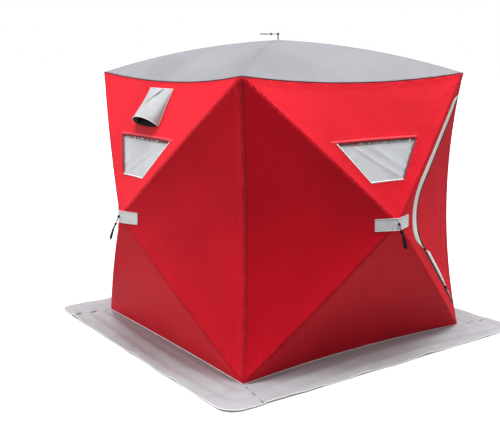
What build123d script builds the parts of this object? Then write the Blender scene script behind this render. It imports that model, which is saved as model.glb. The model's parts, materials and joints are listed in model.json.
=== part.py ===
from build123d import *
import os
from math import atan2, degrees, hypot

os.makedirs("parts", exist_ok=True)

# ---------------------------------------------------------------- overall size
SIDE = 1800.0              # footprint between the wall corners
CORNER_HEIGHT = 1775.0     # top corners above the ice
BASE_LIFT = 8.0            # bottom seam above the ice
WALL_RISE = 323.0          # how far a wall's hub stands out of the wall plane
ROOF_RISE = 225.0          # how far the roof's hub stands above the top corners

# ---------------------------------------------------------------- fabric panels
CLOTH = 2.2                # padded shell fabric
SIDE_SAG = 65.0            # corner seams pulled in, in each of the two walls
TOP_SAG_DOWN = 52.0        # top seams pulled down
TOP_SAG_IN = 50.0          # top seams pulled in
BASE_SAG = {"front": 60.0, "right": 10.0, "back": 60.0, "left": 10.0}
WALL_BOW = 12.0            # the poles' bow, which the ridges follow
ROOF_BOW = 42.0
BAND_END = 0.07            # seam bands, as a share of the way to the hub
GORE_START = 0.085         # the moving gores start clear of the bands
HUB_CUT = 75.0             # gores stop this far from the hub's axis
EDGE_GAP = 12.0            # half the gap between neighbouring gores at the seam
EDGE_GROWTH = 60.0         # and its growth towards the hub
BAND_GAP = 60.0            # the bands stop short of the corners
GORE_SECTIONS = 4

# ---------------------------------------------------------------- seams and corners
PIPING_R = 2.5
POCKET_LEG = 110.0
POCKET_T = 3.0

# ---------------------------------------------------------------- poles
POLE_R = 5.5
TIP_INSET = 50.0           # pole tip from the corner, along both edges
TIP_DEPTH = 15.0           # pole tip inside the panel plane
TIP_R = 8.0
FERRULE_R = 7.5
FERRULE_LENGTH = 55.0
EYE_R = 6.5
EYE_WIDTH = 8.0
NECK_LENGTH = 18.0
PIN_CLEARANCE = 0.05

# ---------------------------------------------------------------- hubs
HUB_DROP = 40.0            # pin plane below the fabric's apex
PIN_RADIUS = 42.0          # pins from the hub's axis
PIN_R = 2.5
PIN_HEAD_R = 4.5
PIN_HEAD_T = 1.5
HUB_CORE_R = 29.0
HUB_HALF_T = 8.0
EAR_T = 4.0
EAR_GAP = 8.8
EAR_FOOT = 18.0
RIVET_PLAY = 0.02
STEM_R = 4.0
EYE_PLATE_R = 8.0
EYE_PLATE_T = 6.0
STRAP_ABOVE_WALL = 9.0     # strap eye above the fabric's apex
STRAP_ABOVE_ROOF = 42.0

# ---------------------------------------------------------------- pull straps
CORD_R = 2.0
LEG_SPREAD = 7.0
LEG_LENGTH = 42.0
KNOT_R = 6.5
KNOT_LENGTH = 14.0
GRIP_LENGTH = 95.0
GRIP_TOP = 13.0
GRIP_END = 30.0
GRIP_T = 6.0
STRAP_LEAN = 24.0          # wall straps lean this far off the vertical
ROOF_LOOP_LENGTH = 75.0
ROOF_LOOP_WIDTH = 22.0
ROOF_STRAP_TURN = 135.0    # which way the roof strap lies, from the roof's u axis

# ---------------------------------------------------------------- windows and blinds
WINDOW_TOP = 480.0         # above the wall's middle
WINDOW_BOTTOM = 245.0
WINDOW_HALF_TOP = 325.0
WINDOW_HALF_BOTTOM = 132.0
PANE_GAP = 0.5
BLIND_MARGIN = 14.0
BLIND_OFFSET = 5.0
BLIND_T = 1.6

# ---------------------------------------------------------------- vent
VENT_TOP = 755.0
VENT_HALF = 106.0
VENT_LENGTH = 205.0
VENT_LEAN = 9.0            # hood off the fabric
VENT_T = 2.0
VENT_LIP = 8.0
VENT_SLOT_HALF = 70.0
VENT_SLOT_HEIGHT = 50.0
VENT_SLOT_TOP = 690.0
VENT_STAND = 3.0           # hood's top edge above the fabric

# ---------------------------------------------------------------- door and zip
DOOR_APEX = 150.0          # where the two straight zip runs would meet
DOOR_TURN_R = 282.0        # the zip's turn beside the hub
DOOR_FOLD = 700.0          # the fold line the flap swings on
DOOR_GAP = 2.5
SLIDER_PAST_FOLD = 20.0    # the closed slider's place, past the fold line
SLIDER_LENGTH = 26.0
SLIDER_WIDTH = 13.0
SLIDER_T = 7.0
SLIDER_STAND = 3.0
TAB_LENGTH = 38.0
TAB_WIDTH = 8.0
TAB_T = 2.5

# ---------------------------------------------------------------- ground skirt
SKIRT_HALF = 1190.0
SKIRT_T = 3.0
SKIRT_CORNER_R = 100.0
GUSSET_INSET = 46.0        # a gusset's seam runs this far out past the corner
SKIRT_HEM = 6.0
SKIRT_HEM_HEIGHT = 9.5
STITCH_GAP = 0.4

HALF = SIDE / 2
WALL_HALF_H = (CORNER_HEIGHT - BASE_LIFT) / 2
WALL_MID = (CORNER_HEIGHT + BASE_LIFT) / 2
REACH = 2 * SIDE           # longer than any panel, for cutting prisms

WALLS = ["front", "right", "back", "left"]
GORES = ["top", "left", "bottom", "right"]


class Panel:
    """One pop-out face: u to the right, v up and n outwards, seen from outside."""

    def __init__(self, name, plane, half_v, rise, bow, sags):
        self.name = name
        self.place = plane.location
        self.half_v = half_v
        self.rise = rise
        self.bow = bow
        self.sags = sags

    def reach(self, k):
        """Half the chord's length and its distance from the hub, for gore k."""
        return (HALF, self.half_v) if k % 2 == 0 else (self.half_v, HALF)


def wall_panel(index):
    turn = 90.0 * index
    name = WALLS[index]
    out = Vector(0, -1, 0).rotate(Axis.Z, turn)
    right = Vector(1, 0, 0).rotate(Axis.Z, turn)
    origin = out * HALF + Vector(0, 0, WALL_MID)
    corner = (SIDE_SAG, SIDE_SAG)
    sags = [(TOP_SAG_DOWN, TOP_SAG_IN), corner, (0.0, BASE_SAG[name]), corner]
    return Panel(name, Plane(origin, x_dir=right, z_dir=out), WALL_HALF_H, WALL_RISE, WALL_BOW, sags)


def roof_panel():
    plane = Plane((0, 0, CORNER_HEIGHT), x_dir=(1, 0, 0), z_dir=(0, 0, 1))
    return Panel("roof", plane, HALF, ROOF_RISE, ROOF_BOW, [(TOP_SAG_IN, TOP_SAG_DOWN)] * len(GORES))


def section(panel, k, tau, gap, offset=0.0, thickness=CLOTH):
    """Planar arc band across gore k, a share tau of the way from its seam to the hub."""
    half, far = panel.reach(k)
    sag_in, sag_deep = panel.sags[k]
    near = 1 - tau
    end = near * half - gap
    inward = Vector(0, -sag_in, -sag_deep).normalized()

    def at(x, depth):
        dip = near * (1 - (x / (near * half)) ** 2)
        lift = tau * panel.rise + 4 * panel.bow * tau * near
        return Vector(x, near * far - sag_in * dip, lift - sag_deep * dip) + inward * depth

    deep = offset + thickness
    outer = ThreePointArc(at(-end, offset), at(0, offset), at(end, offset))
    inner = ThreePointArc(at(end, deep), at(0, deep), at(-end, deep))
    sides = [Line(at(end, offset), at(end, deep)), Line(at(-end, deep), at(-end, offset))]
    return Face(Wire([outer, sides[0], inner, sides[1]]))


def gore_sheet(panel, k, offset=0.0, thickness=CLOTH):
    """One gore as a ruled sheet from its seam band to the hub patch, in the panel's frame."""
    end = 1 - HUB_CUT / panel.reach(k)[1]
    taus = [GORE_START + (end - GORE_START) * i / (GORE_SECTIONS - 1) for i in range(GORE_SECTIONS)]
    faces = [section(panel, k, t, EDGE_GAP + EDGE_GROWTH * t, offset, thickness) for t in taus]
    return Rot(0, 0, 90 * k) * loft(faces, ruled=True)


def seam_band(panel, k):
    faces = [section(panel, k, t, BAND_GAP) for t in (0.0, BAND_END)]
    return Rot(0, 0, 90 * k) * loft(faces, ruled=True)


def seam_points(panel, k):
    """The seam's two corners and its middle, in the panel's frame."""
    half, far = panel.reach(k)
    sag_in, sag_deep = panel.sags[k]
    points = [Vector(-half, far, 0), Vector(0, far - sag_in, -sag_deep), Vector(half, far, 0)]
    return [p.rotate(Axis.Z, 90 * k) for p in points]


def piping(panel, k):
    start, middle, end = seam_points(panel, k)
    path = ThreePointArc(start, middle, end)
    profile = Plane(origin=path @ 0, z_dir=path % 0) * Circle(PIPING_R)
    return sweep(profile, path=path)


def through(face):
    """A cutting prism along n, through the whole panel."""
    return extrude(Pos(0, 0, -REACH / 2) * face, REACH)


def rod(start, end, radius):
    """A round rod between two points."""
    plane = Plane(origin=start, z_dir=end - start)
    return extrude(plane * Circle(radius), (end - start).length)


def window_face(margin=0.0):
    corners = [
        (-WINDOW_HALF_TOP - margin, WINDOW_TOP + margin),
        (WINDOW_HALF_TOP + margin, WINDOW_TOP + margin),
        (WINDOW_HALF_BOTTOM + margin, WINDOW_BOTTOM - margin),
        (-WINDOW_HALF_BOTTOM - margin, WINDOW_BOTTOM - margin),
    ]
    return make_face(Polyline(*corners, close=True))


def door_face(margin=0.0):
    """The door's outline: two zip runs beside the poles, a round turn, and the fold line."""
    reach = DOOR_FOLD - DOOR_APEX
    outline = Polyline((DOOR_FOLD, reach), (DOOR_APEX, 0), (DOOR_FOLD, -reach), close=True)
    face = make_face(outline)
    tip = face.vertices().sort_by(Axis.X)[0]
    face = fillet(tip, DOOR_TURN_R)
    return offset(face, -margin, kind=Kind.INTERSECTION) if margin else face


def make_hub(panel):
    """Moulded hub with four clevises, their pins, and the eye that the strap hangs from."""
    turn = pole_turn(panel)
    above = STRAP_ABOVE_ROOF if panel.name == "roof" else STRAP_ABOVE_WALL
    body = extrude(Circle(HUB_CORE_R), HUB_HALF_T, both=True)
    pins = []
    ear_at = (EAR_GAP + EAR_T) / 2
    pin_half = EAR_GAP / 2 + EAR_T
    for angle in (turn, 180 - turn, 180 + turn, -turn):
        ears = Part()
        for side in (-1, 1):
            profile = Pos(PIN_RADIUS / 2 + EAR_FOOT / 2, 0) * Rectangle(PIN_RADIUS - EAR_FOOT, 2 * HUB_HALF_T)
            profile += Pos(PIN_RADIUS, 0) * Circle(HUB_HALF_T)
            profile -= Pos(PIN_RADIUS, 0) * Circle(PIN_R + RIVET_PLAY)
            ears += Pos(0, side * ear_at, 0) * Rot(90, 0, 0) * extrude(profile, EAR_T / 2, both=True)
        body += Rot(0, 0, angle) * ears
        pin = extrude(Circle(PIN_R), pin_half, both=True)
        for side in (-1, 1):
            pin += Pos(0, 0, side * (pin_half + PIN_HEAD_T / 2)) * Cylinder(PIN_HEAD_R, PIN_HEAD_T)
        pins.append(Rot(0, 0, angle) * Pos(PIN_RADIUS, 0, 0) * Rot(90, 0, 0) * pin)
    top = HUB_DROP + above
    stem = Pos(0, 0, HUB_HALF_T) * extrude(Circle(STEM_R), top - HUB_HALF_T)
    plate = Circle(EYE_PLATE_R) - Circle(CORD_R + PIN_CLEARANCE)
    eye = Pos(0, 0, top) * Rot(0, 90, 0) * extrude(plate, EYE_PLATE_T / 2, both=True)
    eye_bore = Pos(0, 0, top) * Rot(0, 90, 0) * Cylinder(CORD_R + PIN_CLEARANCE, 4 * STEM_R)
    spin = ROOF_STRAP_TURN + 90 if panel.name == "roof" else 0.0
    body += Rot(0, 0, spin) * (stem + eye - eye_bore)
    return Compound([s for part in [body] + pins for s in part.solids()])


def pole_turn(panel):
    return degrees(atan2(panel.half_v - TIP_INSET, HALF - TIP_INSET))


def pin_height(panel):
    return panel.rise - HUB_DROP


def make_pole(panel, angle):
    """Sprung rod with its eye ferrule at the hub and a ball tip for the corner pocket."""
    reach = hypot(HALF - TIP_INSET, panel.half_v - TIP_INSET)
    pin = Vector(PIN_RADIUS, 0, pin_height(panel))
    tip = Vector(reach, 0, -TIP_DEPTH)
    along = (tip - pin).normalized()
    out = along.cross(Vector(0, 1, 0)) * -1
    out = out if out.Z > 0 else out * -1
    start = pin + along * NECK_LENGTH
    path = ThreePointArc(start, (start + tip) * 0.5 + out * panel.bow, tip)
    shaft = sweep(Plane(origin=path @ 0, z_dir=path % 0) * Circle(POLE_R), path=path)
    ferrule = rod(start, start + (path % 0) * FERRULE_LENGTH, FERRULE_R)
    eye = Plane(origin=pin, x_dir=along, z_dir=(0, 1, 0)).location
    profile = Circle(EYE_R) + Pos(NECK_LENGTH / 2 + PIN_R, 0) * Rectangle(NECK_LENGTH, 2 * EYE_R)
    profile -= Circle(PIN_R + PIN_CLEARANCE)
    lug = eye * extrude(profile, EYE_WIDTH / 2, both=True)
    pole = shaft + ferrule + lug + Pos(*tip) * Sphere(TIP_R)
    return Rot(0, 0, angle) * pole


def make_strap(panel):
    """Pull strap: a cord through the hub's eye, a knot and the grip."""
    legs_end = Vector(LEG_SPREAD * 0.4, -LEG_LENGTH, 0)
    side = Vector(LEG_SPREAD, 0, 0)
    strap = rod(side * -1, side, CORD_R)
    for sign in (-1, 1):
        corner = Vector(sign * side.X, 0, 0)
        foot = Vector(sign * legs_end.X, legs_end.Y, 0)
        strap += Pos(*corner) * Sphere(CORD_R)
        strap += rod(corner, foot, CORD_R)
    knot_end = LEG_LENGTH + KNOT_LENGTH
    strap += rod(Vector(0, -LEG_LENGTH + KNOT_LENGTH / 4, 0), Vector(0, -knot_end, 0), KNOT_R)
    if panel.name == "roof":
        half = ROOF_LOOP_WIDTH / 2
        far = knot_end + ROOF_LOOP_LENGTH - half
        path = Wire([
            Line((0, -knot_end + KNOT_LENGTH / 2), (half, -knot_end - half)),
            Line((half, -knot_end - half), (half, -far)),
            ThreePointArc((half, -far), (0, -far - half), (-half, -far)),
            Line((-half, -far), (-half, -knot_end - half)),
            Line((-half, -knot_end - half), (0, -knot_end + KNOT_LENGTH / 2)),
        ])
        for edge in path.edges():
            strap += sweep(Plane(origin=edge @ 0, z_dir=edge % 0) * Circle(CORD_R), path=edge)
            strap += Pos(*(edge @ 0)) * Sphere(CORD_R)
    else:
        far = knot_end + GRIP_LENGTH - GRIP_END / 2
        outline = Polyline(
            (-GRIP_TOP / 2, -knot_end + KNOT_LENGTH / 2), (GRIP_TOP / 2, -knot_end + KNOT_LENGTH / 2),
            (GRIP_END / 2, -far), (-GRIP_END / 2, -far), close=True)
        grip = make_face(outline) + Pos(0, -far) * Circle(GRIP_END / 2)
        strap += extrude(grip, GRIP_T / 2, both=True)
    return strap


def place_strap(panel):
    strap = make_strap(panel)
    if panel.name == "roof":
        height = panel.rise + STRAP_ABOVE_ROOF
        return Pos(0, 0, height) * Rot(0, 0, ROOF_STRAP_TURN + 90) * strap
    return Pos(0, 0, panel.rise + STRAP_ABOVE_WALL) * Rot(-STRAP_LEAN, 0, 0) * strap


def make_vent_hood(panel):
    """Flap held off the wall over the vent slot, with a lip along both sides."""
    sag_in, sag_deep = panel.sags[0]
    tau = 1 - VENT_TOP / (panel.half_v - sag_in)
    height = tau * panel.rise - sag_deep * (1 - tau) + 4 * panel.bow * tau * (1 - tau) + VENT_STAND
    flap = Pos(0, -VENT_LENGTH / 2, VENT_T / 2) * Box(2 * VENT_HALF, VENT_LENGTH, VENT_T)
    for side in (-1, 1):
        at = side * (VENT_HALF - VENT_T / 2)
        lip = Polyline((0, 0), (-VENT_LENGTH, 0), (-VENT_LENGTH, -VENT_LIP), close=True)
        flap += Pos(at, 0, 0) * (Plane.YZ * extrude(make_face(lip), VENT_T / 2, both=True))
    slope = degrees(atan2(panel.rise + sag_deep, panel.half_v - sag_in))
    return Pos(0, VENT_TOP, height) * Rot(-slope - VENT_LEAN, 0, 0) * flap


def gore_height(panel, k, x, y):
    """Height of gore k's outer face over a point of the panel plane, in the gore's frame."""
    half, far = panel.reach(k)
    sag_in, sag_deep = panel.sags[k]
    share = x / half
    straight = far - sag_in
    near = (y + (y * y - 4 * straight * sag_in * share * share) ** 0.5) / (2 * straight)
    dip = near * (1 - (share / near) ** 2)
    return (1 - near) * panel.rise - sag_deep * dip + 4 * panel.bow * near * (1 - near)


def door_run(panel):
    """The lower straight zip run, from the closed slider's place to where the turn begins."""
    turn = DOOR_APEX + DOOR_TURN_R * (2 ** 0.5 - 1) + DOOR_TURN_R * (1 - 0.5 ** 0.5)
    ends = []
    for u in (DOOR_FOLD + SLIDER_PAST_FOLD, turn):
        drop = u - DOOR_APEX
        ends.append(Vector(u, -drop, gore_height(panel, 3, drop, u)))
    return ends


def make_slider(panel):
    """Zip slider and its tab, lying on the closed lower run."""
    body = Box(SLIDER_LENGTH, SLIDER_WIDTH, SLIDER_T)
    body = fillet(body.edges().filter_by(Axis.Z), SLIDER_WIDTH / 3)
    tab = Pos(-TAB_LENGTH / 2, 0, SLIDER_T / 2 + TAB_T / 2) * Box(TAB_LENGTH + TAB_WIDTH, TAB_WIDTH, TAB_T)
    tab = fillet(tab.edges().filter_by(Axis.Z), TAB_WIDTH / 3)
    tab -= Pos(-TAB_LENGTH + TAB_WIDTH / 2, 0, SLIDER_T) * Cylinder(TAB_WIDTH / 4, 4 * SLIDER_T)
    low, high = door_run(panel)
    beside = low.X + SLIDER_LENGTH
    across = Vector(beside, low.Y, gore_height(panel, 3, -low.Y, beside)) - low
    run = (high - low).normalized()
    out = across.cross(run).normalized()
    seat = Plane(origin=low + out * (SLIDER_STAND + SLIDER_T / 2), x_dir=run, z_dir=out)
    return seat.location * (body + tab)


def make_pockets():
    """Triangular corner reinforcements, three plates to a corner."""
    leg = make_face(Polyline((0, 0), (-POCKET_LEG, 0), (0, -POCKET_LEG), close=True))
    plate = extrude(leg, -POCKET_T)
    corner = plate + Plane.XZ.location * extrude(leg, POCKET_T)
    corner += Plane.YZ.location * extrude(leg, -POCKET_T)
    pockets = []
    for turn in range(4):
        top = Rot(0, 0, 90 * turn) * Pos(HALF, HALF, CORNER_HEIGHT) * corner
        bottom = Rot(0, 0, 90 * turn) * Pos(HALF, HALF, BASE_LIFT) * mirror(corner, Plane.XY)
        pockets += [top, bottom]
    return Compound([s for p in pockets for s in p.solids()])


def make_seams(panels):
    """Bound seams: the two panels' edge bands joined by a piping that runs corner to corner."""
    roof = panels[-1]
    roof_gore = {"front": 2, "right": 3, "back": 0, "left": 1}
    solids = []
    for i, wall in enumerate(panels[:-1]):
        neighbour = panels[(i + 1) % len(WALLS)]
        side = wall.place * (seam_band(wall, 3) + piping(wall, 3)) + neighbour.place * seam_band(neighbour, 1)
        top = wall.place * (seam_band(wall, 0) + piping(wall, 0))
        top += roof.place * seam_band(roof, roof_gore[wall.name])
        base = wall.place * (seam_band(wall, 2) + piping(wall, 2))
        solids += side.solids() + top.solids() + base.solids()
    return Compound(solids)


def make_skirt():
    """Snow skirt lying on the ice: four side strips and four corner gussets."""
    solids = []
    for i, name in enumerate(WALLS):
        inner, outer = HALF - STITCH_GAP, HALF + GUSSET_INSET - STITCH_GAP
        base = -HALF + BASE_SAG[name]
        seam = ThreePointArc((-inner, -HALF), (0, base), (inner, -HALF))
        rest = Polyline((inner, -HALF), (outer, -SKIRT_HALF), (-outer, -SKIRT_HALF), (-inner, -HALF))
        strip = extrude(make_face([seam] + rest.edges()), SKIRT_T)
        hem_arc = ThreePointArc((-inner, -HALF - SKIRT_HEM), (0, base - SKIRT_HEM), (inner, -HALF - SKIRT_HEM))
        ends = [Line((s * inner, -HALF), (s * inner, -HALF - SKIRT_HEM)) for s in (-1, 1)]
        strip += extrude(make_face([seam, hem_arc] + ends), SKIRT_HEM_HEIGHT)
        solids += (Rot(0, 0, 90 * i) * strip).solids()
        edge = HALF + GUSSET_INSET
        gusset = make_face(Polyline(
            (HALF, -HALF), (edge, -SKIRT_HALF), (SKIRT_HALF, -SKIRT_HALF), (SKIRT_HALF, -edge), close=True))
        corner = gusset.vertices().sort_by_distance((SKIRT_HALF, -SKIRT_HALF))[0]
        gusset = fillet(corner, SKIRT_CORNER_R)
        solids += (Rot(0, 0, 90 * i) * extrude(gusset, SKIRT_T)).solids()
    return Compound(solids)


def save(shape, node):
    export_step(shape, f"parts/{node}.step")


def save_panel(panel):
    name = panel.name
    save(panel.place * Pos(0, 0, pin_height(panel)) * make_hub(panel), f"{name}_hub")
    turn = pole_turn(panel)
    corners = {"upper_right": turn, "upper_left": 180 - turn, "lower_left": 180 + turn, "lower_right": -turn}
    for corner, angle in corners.items():
        save(panel.place * make_pole(panel, angle), f"{name}_pole_{corner}")
    for k, side in enumerate(GORES):
        sheet = gore_sheet(panel, k)
        if name != "roof" and side == "top":
            pane = sheet & through(window_face(-PANE_GAP))
            sheet = sheet - through(window_face())
            if name == "left":
                slot = Pos(0, VENT_SLOT_TOP - VENT_SLOT_HEIGHT / 2) * Rectangle(2 * VENT_SLOT_HALF, VENT_SLOT_HEIGHT)
                sheet = sheet - through(slot)
            sheet = Compound(sheet.solids() + pane.solids())
        if name == "front" and side == "right":
            flap = sheet & through(door_face(DOOR_GAP))
            sheet = sheet - through(door_face())
            save(panel.place * flap, "front_door_flap")
        save(panel.place * sheet, f"{name}_gore_{side}")
    save(panel.place * place_strap(panel), f"{name}_pull_strap")
    if name != "roof":
        blind = gore_sheet(panel, 0, BLIND_OFFSET, BLIND_T) & through(window_face(BLIND_MARGIN))
        save(panel.place * blind, f"{name}_window_blind")


all_panels = [wall_panel(i) for i in range(len(WALLS))] + [roof_panel()]
for each in all_panels:
    save_panel(each)
front, left = all_panels[0], all_panels[3]
save(front.place * make_slider(front), "front_zip_slider")
save(left.place * make_vent_hood(left), "left_vent_hood")
save(make_pockets(), "corner_pockets")
save(make_seams(all_panels), "seam_bands")
save(make_skirt(), "snow_skirt")
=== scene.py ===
"""Pop-up ice fishing shelter: fabric, seams, zip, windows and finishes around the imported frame. Metres."""

import json
import math

import bpy
import numpy as np
from mathutils import Euler, Matrix, Vector, geometry
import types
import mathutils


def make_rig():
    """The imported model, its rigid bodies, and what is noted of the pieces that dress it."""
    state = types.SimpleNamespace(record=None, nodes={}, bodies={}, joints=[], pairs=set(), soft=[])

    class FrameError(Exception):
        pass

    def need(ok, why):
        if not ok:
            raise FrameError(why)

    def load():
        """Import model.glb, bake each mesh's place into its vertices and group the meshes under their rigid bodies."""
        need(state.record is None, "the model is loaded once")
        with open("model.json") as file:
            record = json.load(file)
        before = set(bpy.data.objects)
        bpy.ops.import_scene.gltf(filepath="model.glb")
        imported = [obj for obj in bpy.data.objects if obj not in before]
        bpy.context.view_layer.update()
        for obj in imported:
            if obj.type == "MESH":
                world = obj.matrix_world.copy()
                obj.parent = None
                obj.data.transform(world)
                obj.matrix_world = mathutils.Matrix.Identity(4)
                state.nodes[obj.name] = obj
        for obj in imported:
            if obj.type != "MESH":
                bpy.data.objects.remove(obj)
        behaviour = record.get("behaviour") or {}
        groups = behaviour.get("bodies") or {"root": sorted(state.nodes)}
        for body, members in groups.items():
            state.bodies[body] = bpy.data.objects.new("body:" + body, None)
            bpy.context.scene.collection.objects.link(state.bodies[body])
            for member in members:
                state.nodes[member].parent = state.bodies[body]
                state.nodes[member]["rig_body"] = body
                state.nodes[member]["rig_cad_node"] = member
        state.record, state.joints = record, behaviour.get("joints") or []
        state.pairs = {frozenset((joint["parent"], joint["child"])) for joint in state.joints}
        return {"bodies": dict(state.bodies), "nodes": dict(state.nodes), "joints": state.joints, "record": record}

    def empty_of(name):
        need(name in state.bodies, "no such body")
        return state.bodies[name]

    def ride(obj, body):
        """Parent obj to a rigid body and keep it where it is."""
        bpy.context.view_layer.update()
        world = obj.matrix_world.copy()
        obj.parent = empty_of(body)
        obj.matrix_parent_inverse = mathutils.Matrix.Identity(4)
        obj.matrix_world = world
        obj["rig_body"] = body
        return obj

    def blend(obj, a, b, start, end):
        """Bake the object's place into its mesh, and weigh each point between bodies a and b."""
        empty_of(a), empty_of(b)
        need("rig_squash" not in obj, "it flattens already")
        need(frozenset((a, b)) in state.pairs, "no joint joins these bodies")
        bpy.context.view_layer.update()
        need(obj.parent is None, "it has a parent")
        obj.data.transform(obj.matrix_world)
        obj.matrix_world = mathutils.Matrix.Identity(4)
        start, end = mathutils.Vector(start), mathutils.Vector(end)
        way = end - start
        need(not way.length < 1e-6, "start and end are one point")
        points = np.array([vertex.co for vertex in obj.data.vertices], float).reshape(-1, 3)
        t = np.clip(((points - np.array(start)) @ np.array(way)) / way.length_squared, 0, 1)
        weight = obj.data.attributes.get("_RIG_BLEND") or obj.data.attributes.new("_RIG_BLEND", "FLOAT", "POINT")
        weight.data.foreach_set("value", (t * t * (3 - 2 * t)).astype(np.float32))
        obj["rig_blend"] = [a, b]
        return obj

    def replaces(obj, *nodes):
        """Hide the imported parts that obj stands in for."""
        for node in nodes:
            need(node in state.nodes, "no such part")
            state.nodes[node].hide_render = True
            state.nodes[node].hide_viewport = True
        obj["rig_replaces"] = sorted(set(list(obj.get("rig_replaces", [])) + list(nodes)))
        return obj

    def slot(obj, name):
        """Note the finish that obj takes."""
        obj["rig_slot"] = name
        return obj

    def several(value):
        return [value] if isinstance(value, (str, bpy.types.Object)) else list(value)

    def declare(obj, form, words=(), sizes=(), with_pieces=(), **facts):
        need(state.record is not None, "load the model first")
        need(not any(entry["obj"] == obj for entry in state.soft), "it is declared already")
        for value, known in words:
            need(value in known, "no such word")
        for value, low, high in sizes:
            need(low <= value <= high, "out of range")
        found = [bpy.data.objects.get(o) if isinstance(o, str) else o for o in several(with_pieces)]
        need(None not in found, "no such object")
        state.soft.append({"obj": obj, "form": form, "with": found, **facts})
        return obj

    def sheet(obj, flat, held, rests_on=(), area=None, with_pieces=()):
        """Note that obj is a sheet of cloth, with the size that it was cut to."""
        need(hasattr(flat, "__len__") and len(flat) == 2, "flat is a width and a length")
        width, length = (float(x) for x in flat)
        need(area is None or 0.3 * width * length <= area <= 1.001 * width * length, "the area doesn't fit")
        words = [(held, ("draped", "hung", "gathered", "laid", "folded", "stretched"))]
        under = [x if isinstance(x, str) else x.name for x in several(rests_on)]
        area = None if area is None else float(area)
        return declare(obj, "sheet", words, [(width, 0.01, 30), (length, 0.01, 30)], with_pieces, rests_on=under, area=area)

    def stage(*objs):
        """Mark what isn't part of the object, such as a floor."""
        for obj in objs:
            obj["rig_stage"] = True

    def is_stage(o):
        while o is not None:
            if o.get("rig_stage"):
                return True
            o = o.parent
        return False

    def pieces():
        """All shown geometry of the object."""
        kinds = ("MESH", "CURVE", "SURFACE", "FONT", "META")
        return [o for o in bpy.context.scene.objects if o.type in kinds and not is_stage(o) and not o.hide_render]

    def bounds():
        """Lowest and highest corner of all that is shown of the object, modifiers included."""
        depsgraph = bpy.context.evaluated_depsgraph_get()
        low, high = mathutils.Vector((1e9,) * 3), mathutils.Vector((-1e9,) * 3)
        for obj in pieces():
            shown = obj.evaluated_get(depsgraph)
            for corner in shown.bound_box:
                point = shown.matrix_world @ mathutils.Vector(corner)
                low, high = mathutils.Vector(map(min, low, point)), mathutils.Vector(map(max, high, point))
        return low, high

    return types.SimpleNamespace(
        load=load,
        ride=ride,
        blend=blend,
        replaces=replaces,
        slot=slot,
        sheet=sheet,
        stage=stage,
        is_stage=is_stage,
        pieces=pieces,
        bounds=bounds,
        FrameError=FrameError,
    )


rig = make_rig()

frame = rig.load()
cad_low, cad_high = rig.bounds()

# ---------------------------------------------------------------- dimensions shared with the frame
HALF = 0.900
CORNER_HEIGHT = 1.775
BASE_LIFT = 0.008
WALL_HALF_H = (CORNER_HEIGHT - BASE_LIFT) / 2
WALL_MID = (CORNER_HEIGHT + BASE_LIFT) / 2
WALL_RISE = 0.323
ROOF_RISE = 0.225
SIDE_SAG = 0.065
TOP_SAG_DOWN = 0.052
TOP_SAG_IN = 0.050
BASE_SAG = {"front": 0.060, "right": 0.010, "back": 0.060, "left": 0.010}
WALL_BOW = 0.012
ROOF_BOW = 0.042

WINDOW_TOP = 0.480
WINDOW_BOTTOM = 0.245
WINDOW_HALF_TOP = 0.325
WINDOW_HALF_BOTTOM = 0.132
DOOR_APEX = 0.150
DOOR_TURN_R = 0.282
DOOR_FOLD = 0.700
VENT_SLOT_HALF = 0.070
VENT_SLOT_TOP = 0.690
VENT_SLOT_HEIGHT = 0.050
SKIRT_HALF = 1.190
SKIRT_CORNER_R = 0.100
GUSSET_INSET = 0.046
POCKET_LEG = 0.110
STRAP_ABOVE_WALL = 0.009
STRAP_ABOVE_ROOF = 0.042
STRAP_LEAN = math.radians(24)
ROOF_STRAP_TURN = math.radians(135)

# ---------------------------------------------------------------- cloth
CLOTH_T = 0.0013
SPACING = 0.013            # between the points of a cloth mesh
EDGE_CLEAR = 0.55          # inner points keep this share of the spacing from an edge
TRIM_SPACING = 0.012       # between the points of hems and ribbons
TRIM_T = 0.0012            # patches, hood and pockets
THIN_T = 0.0010            # ribbons, blinds and tapes
BEND_START = 0.040         # a gore bends off its seam over this part of its slant height
BEND_END = 0.095
DOOR_BEND = 0.120          # the door flap bends over this far from its fold line

WALLS = ["front", "right", "back", "left"]
GORES = ["top", "left", "bottom", "right"]


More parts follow.
